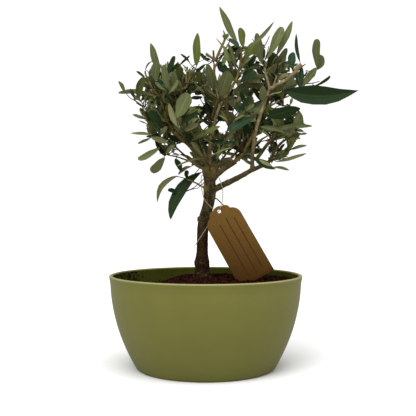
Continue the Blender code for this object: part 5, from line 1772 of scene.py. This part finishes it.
# %% Stems and twigs
# Each kind is (light colour, dark colour)
WOOD_COLOURS = {
    "tan": (srgb(160, 143, 106), srgb(112, 97, 64)),
    "ochre": (srgb(142, 124, 72), srgb(92, 76, 40)),
    # brown is partly the twigs' own colour and partly painted shade for wood deep in the crown
    "brown": (srgb(94, 79, 46), srgb(54, 43, 22)),
    "green": (srgb(88, 84, 44), srgb(50, 47, 22)),
}
STEM_SINK = 2.5  # mm that a stem starts back inside its bough
mass_names = [mass.name for mass in MASSES]
carrier_of = {mass.name: paths[mass.bough] for mass in MASSES}
wood_runs["green"] = fine_twigs
wood_runs["brown"] += stalk_runs
# Stems inside the crown take the brown, partly as painted shade
for piece in wood:
    path = piece.path
    if piece.key[1] == 0:
        limb = carrier_of[piece.key[0]]
        path = [limb[-1] - tip_heading(limb) * STEM_SINK * MM, *path]
    wood_runs["brown"].append((path, tapered(path, piece.base, piece.tip)))
for kind, (light, dark) in WOOD_COLOURS.items():
    paint = mottled(f"twig_{kind}", light, dark, 200, 0.85,
                    spread=0.2, detail=3, bump=0.4, depth=0.15, gloss=0.15)
    twig_mesh = tubes(f"twigs_{kind}", wood_runs[kind], paint, sides=7, step=2.5 * MM)
    finish_piece(f"twigs_{kind}", twig_mesh, mass_names)

# %% [markdown]
# ## One leaf, many times
#
# Every leaf is the same small sheet, bent to its own shape by numbers. The tree below takes a
# cloud of points that carry those numbers, puts a flat grid on each, makes the copies real, and
# then moves every grid point to its place on the blade: along the midrib, out to the edge, up
# with the fold. The blade is two sheets that meet at their edges, green above and pale below,
# with a narrow pale rib down the middle. That keeps a leaf to a few dozen faces.

# %% Leaf tree
LEAF_ROWS = 10  # points along a leaf
UPPER_COLUMNS, UNDER_COLUMNS = 6, 3  # points across its two sheets
RIB_SHARE = 0.15  # of the half width
WAVES = 9.0  # how many radians the edges' wave turns from the base to the tip
SIDE_WAVE, RISE_WAVE = 0.09, 0.04  # how far it goes out and up, as shares of the half width
leaf_tree, leaf_in = new_tree("olive_leaves", (
    ("Thickness", "Float", 0.45 * MM),
    ("Upper", "Material", None),
    ("Rib", "Material", None),
    ("Under", "Material", None),
))

def its(name, kind="FLOAT"):
    return named(leaf_tree, name, kind)

def math_of(operation, *values):
    return sums(leaf_tree, operation, *values)

def times(*values):
    return product(leaf_tree, *values)

grid_place = xyz(leaf_tree, add(leaf_tree, "GeometryNodeInputPosition").outputs[0])
turn_angle = times(math_of("ADD", grid_place["X"], 0.5), math.pi)
u_value = math_of("MULTIPLY_ADD", math_of("COSINE", turn_angle), -0.5, 0.5)
v_raw = grid_place["Y"]
v_value = times(v_raw, math_of("MULTIPLY_ADD", times(v_raw, v_raw), 0.6, 0.4))
is_rib = math_of("LESS_THAN", math_of("ABSOLUTE", its("v")), RIB_SHARE)

def sheet(columns, side):
    """One of a leaf's two sheets: the upper one has room for a rib, the under one is plainer."""
    shape = add(leaf_tree, "GeometryNodeMeshGrid", {
        "Size X": 1.0, "Size Y": 2.0, "Vertices X": LEAF_ROWS, "Vertices Y": columns,
    }).outputs["Mesh"]
    for name, value, domain in (
        ("u", u_value, "POINT"), ("v", v_value, "POINT"), ("rib", is_rib, "FACE"),
        ("side", side, "FACE"), ("lift", side, "POINT"),
    ):
        shape = store(leaf_tree, shape, name, value, domain)
    return shape

upper_sheet = sheet(UPPER_COLUMNS, 1.0)
under_sheet = add(leaf_tree, "GeometryNodeFlipFaces", {0: sheet(UNDER_COLUMNS, -1.0)}).outputs[0]
both = add(leaf_tree, "GeometryNodeJoinGeometry")
for half in (upper_sheet, under_sheet):
    leaf_tree.links.new(half, both.inputs[0])
dealt_leaves = add(leaf_tree, "GeometryNodeInstanceOnPoints", {
    "Points": leaf_in["Geometry"], "Instance": both.outputs[0],
})
real_leaves = add(leaf_tree, "GeometryNodeRealizeInstances", {0: dealt_leaves.outputs[0]})

u, v, length = its("u"), its("v"), its("length")
along, up = its("along", "FLOAT_VECTOR"), its("up", "FLOAT_VECTOR")
to_tip = math_of("MAXIMUM", math_of("SUBTRACT", 1.0, u), 0.0)
outline = times(math_of("POWER", u, its("swell")), math_of("POWER", to_tip, its("point")))
bulk = math_of("DIVIDE", outline, its("peak"))
half_width = times(its("width"), 0.5, bulk)
arch = times(u, to_tip, 4.0)
angle = times(its("twist"), math_of("SUBTRACT", u, 0.4))
flat_across = vectors(leaf_tree, "CROSS_PRODUCT", along, up)
across = vectors(leaf_tree, "ADD",
                 vectors(leaf_tree, "SCALE", flat_across, scale=math_of("COSINE", angle)),
                 vectors(leaf_tree, "SCALE", up, scale=math_of("SINE", angle)))
rise = vectors(leaf_tree, "CROSS_PRODUCT", across, along)
wave = math_of("SINE", math_of("MULTIPLY_ADD", u, WAVES, times(its("twist"), 9.0)))
wavy_width = times(half_width, math_of("ADD", 1.0, times(wave, times(v, SIDE_WAVE))))
sideways = math_of("MULTIPLY_ADD", v, wavy_width, times(its("sweep"), length, arch))
fold_rise = times(math_of("ABSOLUTE", v), half_width, its("fold"))
bow_rise = times(its("bow"), length, arch)
thin_edge = math_of("SUBTRACT", 1.0, times(v, v))
sheet_rise = times(its("lift"), thin_edge, bulk, times(leaf_in["Thickness"], 0.5))
wave_rise = times(wave, times(v, half_width, RISE_WAVE))
upwards = math_of("ADD", math_of("ADD", fold_rise, bow_rise),
                  math_of("ADD", sheet_rise, wave_rise))
sag = times(its("droop"), length, times(u, u, -1.0))
place = its("root", "FLOAT_VECTOR")
for direction, reach in (
    (along, times(length, u)), (across, sideways), (rise, upwards), ((0, 0, 1), sag),
):
    place = vectors(leaf_tree, "ADD", place, vectors(leaf_tree, "SCALE", direction, scale=reach))
bent = add(leaf_tree, "GeometryNodeSetPosition", {
    "Geometry": real_leaves.outputs[0], "Position": place,
})
closed = add(leaf_tree, "GeometryNodeMergeByDistance", {0: bent.outputs[0], "Distance": 0.004 * MM})
end_tree(leaf_tree, closed.outputs[0], (leaf_in["Under"], None),
         (leaf_in["Upper"], math_of("GREATER_THAN", its("side"), 0.0)),
         (leaf_in["Rib"], math_of("GREATER_THAN", its("rib"), 0.5)))
print("leaf tree has", len(leaf_tree.nodes), "nodes")

# %% Leaf clouds
def leaf_peak(leaf):
    """The greatest value of the blade's outline, so that its width comes out as asked."""
    share = leaf.swell / (leaf.swell + leaf.point)
    return share ** leaf.swell * (1 - share) ** leaf.point

def leaf_cloud(name, chosen):
    """A mesh of one point for each leaf, which carries that leaf's numbers."""
    mesh = bpy.data.meshes.new(name)
    mesh.from_pydata([tuple(leaf.blade.root) for leaf in chosen], [], [])
    numbers = {"peak": [leaf_peak(leaf) for leaf in chosen]}
    for key in ("length", "width", "droop"):
        numbers[key] = [getattr(leaf.blade, key) for leaf in chosen]
    for key in ("swell", "point", "fold", "twist", "bow", "sweep"):
        numbers[key] = [getattr(leaf, key) for leaf in chosen]
    for key, values in numbers.items():
        mesh.attributes.new(key, "FLOAT", "POINT").data.foreach_set("value", values)
    for key in ("root", "along", "up"):
        values = [number for leaf in chosen for number in getattr(leaf.blade, key)]
        mesh.attributes.new(key, "FLOAT_VECTOR", "POINT").data.foreach_set("vector", values)
    return mesh

# %% [markdown]
# The tints are plain colours, one piece for each, dealt out by spray: dark leaves, olive and sage ones, a
# few blue-green and lime ones, and some whose pale underside shows. The dark tint is the old leaves' own
# colour, and it is also dealt to leaves inside the crown and in shadow as painted shade, while more sage
# is dealt high on the right as a painted highlight. The upper face has a leathery shine, and the
# underside is matt with a fine down.

# %% Leaf pieces
# Each tint is (upper face, rib, underside)
TINTS = {
    # dark is the old leaves' own colour, also dealt as painted shade
    "dark": (srgb(35, 53, 25), srgb(48, 64, 34), srgb(88, 94, 65)),
    "olive": (srgb(89, 97, 47), srgb(104, 111, 60), srgb(112, 116, 74)),
    "dusk": (srgb(99, 103, 65), srgb(106, 108, 72), srgb(112, 112, 80)),
    "sage": (srgb(103, 110, 68), srgb(121, 126, 82), srgb(112, 116, 79)),
    "blue": (srgb(44, 66, 43), srgb(68, 84, 57), srgb(93, 102, 77)),
    "pale": (srgb(129, 129, 88), srgb(140, 140, 100), srgb(130, 130, 96)),
    "lime": (srgb(111, 124, 60), srgb(133, 142, 78), srgb(122, 130, 78)),
}

def dimmed(colour, share):
    return (*[value * share for value in colour[:3]], 1.0)

def leaf_paint(name, colour, roughness, gloss):
    return mottled(name, dimmed(colour, 1.05), dimmed(colour, 0.8), 300, roughness,
                   spread=0.3, detail=2, bump=0.25, depth=0.08, gloss=gloss)

for tint, (upper, rib, under) in TINTS.items():
    chosen = [leaf for leaf in leaves if leaf.tint == tint]
    mesh = run_tree(leaf_tree, leaf_cloud(f"cloud_{tint}", chosen), f"leaves_{tint}", {
        "Upper": leaf_paint(f"leaf_{tint}_upper", upper, 0.5, 0.08),
        "Rib": leaf_paint(f"leaf_{tint}_rib", rib, 0.6, 0.06),
        "Under": leaf_paint(f"leaf_{tint}_under", under, 0.85, 0.05),
    })
    mesh.set_sharp_from_angle(angle=math.radians(75))
    finish_piece(f"leaves_{tint}", mesh, mass_names)
    print(len(chosen), tint, "leaves")

# %% [markdown]
# ## The card tag
#
# The tag is a plain brown card with a scalloped head and a punched hole. Its outline is a flat
# curve with a fill and a thickness. The card is then cut across many times, so that it can bow a
# little, as a light card does when one corner is stuck in damp soil.

# %% Tag sizes
TAG_WIDTH = 47 * MM
TAG_LENGTH = 82 * MM
TAG_THICKNESS = 0.9 * MM
TAG_FOOT = Vector((63.0, -24.5, 111.5)) * MM
TAG_SLANT = 29.3
TAG_LEAN = 6.5
TAG_SCALLOPS = ((23, 0), (14, 10.8), (6.4, 17.2))
TAG_HOLE_RADIUS = 2.3 * MM
TAG_HOLE_RISE = 13 * MM
TAG_SCALLOP_BULGE = 2.2 * MM
TAG_BOW = 0.7 * MM
TAG_EDGE = 0.12 * MM
TAG_HOLE_POINTS = 28
# Where the card is cut across so that it can bow, in mm: (axis, places)
TAG_CUTS = ((1, range(6, 102, 6)), (0, range(-20, 21, 5)))

def arc(start, end, bulge, steps):
    """Points from just after start to end on a circle that stands out by bulge to the right."""
    chord = end - start
    half = chord.length / 2
    radius = (half * half + bulge * bulge) / (2 * bulge)
    out = Vector((chord.y, -chord.x)).normalized()
    centre = (start + end) / 2 - out * (radius - bulge)
    a0 = math.atan2(start.y - centre.y, start.x - centre.x)
    a1 = math.atan2(end.y - centre.y, end.x - centre.x)
    if a1 < a0:
        a1 += 2 * math.pi
    angles = [a0 + (a1 - a0) * (i + 1) / steps for i in range(steps)]
    return [centre + radius * Vector((math.cos(a), math.sin(a))) for a in angles]

def tag_outline():
    half = TAG_WIDTH / 2
    notches = [Vector((x * MM, TAG_LENGTH + y * MM)) for x, y in TAG_SCALLOPS]
    notches += [Vector((-point.x, point.y)) for point in reversed(notches)]
    outline = [Vector((-half, 0)), Vector((half, 0)), notches[0]]
    for start, end in zip(notches, notches[1:]):
        outline += arc(start, end, TAG_SCALLOP_BULGE, 10)
    return outline

def tag_matrix():
    turn = Matrix.Rotation(math.radians(TAG_SLANT), 4, "Z")
    upright = Matrix.Rotation(math.radians(90 - TAG_LEAN), 4, "X")
    return Matrix.Translation(TAG_FOOT) @ upright @ turn

def bowed(point):
    """How the card's plane bends: its sides and its head curl back a little."""
    across = point.x / (TAG_WIDTH / 2)
    upward = point.y / TAG_LENGTH - 0.55
    return point - Vector((0, 0, TAG_BOW * across * across + TAG_BOW * upward * upward))

# %% Tag card
def tag_mesh():
    curve = bpy.data.curves.new("tag_card", "CURVE")
    curve.dimensions = "2D"
    curve.fill_mode = "BOTH"
    curve.extrude = TAG_THICKNESS / 2 - TAG_EDGE
    curve.bevel_depth = TAG_EDGE
    curve.bevel_resolution = 1
    curve.offset = -TAG_EDGE
    hole = Vector((0, TAG_LENGTH + TAG_HOLE_RISE))
    turns = [2 * math.pi * i / TAG_HOLE_POINTS for i in range(TAG_HOLE_POINTS)]
    ring = [hole + TAG_HOLE_RADIUS * Vector((math.cos(a), math.sin(a))) for a in turns]
    for loop in (tag_outline(), ring):
        spline = curve.splines.new("POLY")
        spline.use_cyclic_u = True
        spline.points.add(len(loop) - 1)
        for point, place in zip(spline.points, loop):
            point.co = (place.x, place.y, 0, 1)
    obj = plain_object("tag_card", curve)
    mesh = worked_out(obj, "tag_card")

    def change(bm):
        bmesh.ops.remove_doubles(bm, verts=bm.verts, dist=0.003 * MM)
        for axis, marks in TAG_CUTS:
            for mark in marks:
                middle, normal = Vector(), Vector()
                middle[axis], normal[axis] = mark * MM, 1
                parts = bm.verts[:] + bm.edges[:] + bm.faces[:]
                bmesh.ops.bisect_plane(bm, geom=parts, plane_co=middle, plane_no=normal, dist=1e-7)
        for vertex in bm.verts:
            vertex.co = tag_matrix() @ bowed(vertex.co)
        bmesh.ops.recalc_face_normals(bm, faces=bm.faces)

    edit(mesh, change)
    mesh.shade_smooth()
    mesh.set_sharp_from_angle(angle=math.radians(35))
    return mesh

def darker_towards_foot(tree, dry, where):
    """Kraft card is darker towards its foot."""
    foot_share = ramp(tree, xyz(tree, where)["Z"], 205 * MM, 112 * MM, 0, 0.9)
    return mixed(tree, foot_share, dry, srgb(62, 38, 6))

card = tag_mesh()
kraft = mottled("card_kraft", srgb(124, 93, 45), srgb(102, 74, 33), 500, 0.9,
                spread=0.3, detail=4, bump=0.35, depth=0.08, gloss=0.08)
card.materials.append(repainted(kraft, darker_towards_foot))
finish_piece("tag_card", card, ["tag"])

# %% [markdown]
# Three plain ruled lines run down the card, as on any tag that is meant to be written on. They
# are thin strips that lie on its face and follow its bow.

# %% Ruled lines on the tag
RULE_WIDTH = 0.95 * MM
RULE_RAISE = 0.06 * MM
RULE_SINK = 0.05 * MM
RULE_STEPS = 36
# Each line is (place across the card, lower end, upper end), in mm
RULES = ((-7.5, 8, 80), (3.0, 6, 84), (12.5, 10, 80))

def ruled_lines():
    bm = bmesh.new()
    for across, low, high in RULES:
        rows = []
        for i in range(RULE_STEPS + 1):
            y = (low + (high - low) * i / RULE_STEPS) * MM
            x = across * MM
            row = []
            for side in (-1, 1):
                for level in (-RULE_SINK, RULE_RAISE):
                    point = Vector((x + side * RULE_WIDTH / 2, y, TAG_THICKNESS / 2 + level))
                    row.append(bm.verts.new(tag_matrix() @ bowed(point)))
            rows.append(row)
        for a, b in zip(rows, rows[1:]):
            for i, j in ((0, 1), (1, 3), (3, 2), (2, 0)):
                bm.faces.new((a[i], a[j], b[j], b[i]))
        for end in (rows[0], rows[-1]):
            bm.faces.new([end[i] for i in (0, 1, 3, 2)])
    bmesh.ops.recalc_face_normals(bm, faces=bm.faces)
    return mesh_of(bm, "tag_lines")

lines = ruled_lines()
ink = mottled("ink_brown", srgb(66, 38, 26), srgb(44, 26, 18), 900, 0.8, gloss=0.1)
lines.materials.append(ink)
finish_piece("tag_lines", lines, [])

# %% [markdown]
# ## The twine
#
# The tag hangs on a loop of thin garden twine: two strands laid round each other. The route is
# the solid's own. Two helices are wound about it, half a turn apart, and swept by the tube tree.

# %% Twine
TWINE_ROUTE = (
    (-14.5, -10.8, 150.0), (-9.5, -11.2, 157.5), (-2.5, -11.4, 168.0), (5.0, -11.2, 180.0),
    (12.0, -11.2, 189.0), (15.2, -12.2, 193.2), (16.5, -14.8, 195.1), (16.9, -17.4, 196.3),
    (18.6, -17.2, 200.2), (20.2, -14.6, 205.6), (21.0, -10.6, 213.0), (20.9, -9.0, 221.0),
    (18.8, -7.6, 229.5), (16.4, -3.6, 236.0), (15.2, 3.4, 239.0), (10.5, 8.9, 240.0),
    (2.0, 9.7, 240.0), (-4.2, 5.2, 239.0), (-5.8, -1.6, 236.0), (-5.4, -6.4, 229.0),
    (-4.6, -9.2, 219.5), (-2.0, -10.2, 209.5), (3.6, -10.2, 202.0), (9.2, -10.0, 196.8),
    (12.2, -10.0, 193.2),
)
TWINE_POINTS = 900
TWINE_LAY = 3.2 * MM
STRAND_RADIUS = 0.29 * MM
STRAND_OFFSET = 0.24 * MM

def smooth_route(route, count):
    """Points evenly spread in number along a smooth curve through a route's own points."""
    last = len(route) - 1
    points = []
    for i in range(count):
        place = i * last / (count - 1)
        k = min(int(place), last - 1)
        t = place - k
        a, b, c, d = (route[min(max(k + j, 0), last)] for j in (-1, 0, 1, 2))
        bend = 2 * b + (c - a) * t + (2 * a - 5 * b + 4 * c - d) * t * t
        points.append((bend + (3 * b - a - 3 * c + d) * t * t * t) / 2)
    return points

def strands(route):
    middle = smooth_route(route, TWINE_POINTS)
    side = Vector((0, 1, 0))
    walked = 0.0
    runs = [[], []]
    for i, point in enumerate(middle):
        line = line_at(middle, i)
        side = (side - line * side.dot(line)).normalized()
        if i:
            walked += (point - middle[i - 1]).length
        for k, run in enumerate(runs):
            a = 2 * math.pi * walked / TWINE_LAY + math.pi * k
            offset = side * math.cos(a) + line.cross(side) * math.sin(a)
            run.append(point + offset * STRAND_OFFSET)
    return [(run, [STRAND_RADIUS] * len(run)) for run in runs]

twine_paint = mottled("twine_straw", srgb(190, 178, 148), srgb(142, 128, 98), 900, 0.9,
                      spread=0.3, detail=3, bump=0.5, depth=0.1, gloss=0.2)
twine_mesh = tubes("tag_twine", strands([Vector(point) * MM for point in TWINE_ROUTE]),
                   twine_paint, sides=6, step=0.45 * MM)
finish_piece("tag_twine", twine_mesh, ["twine"])
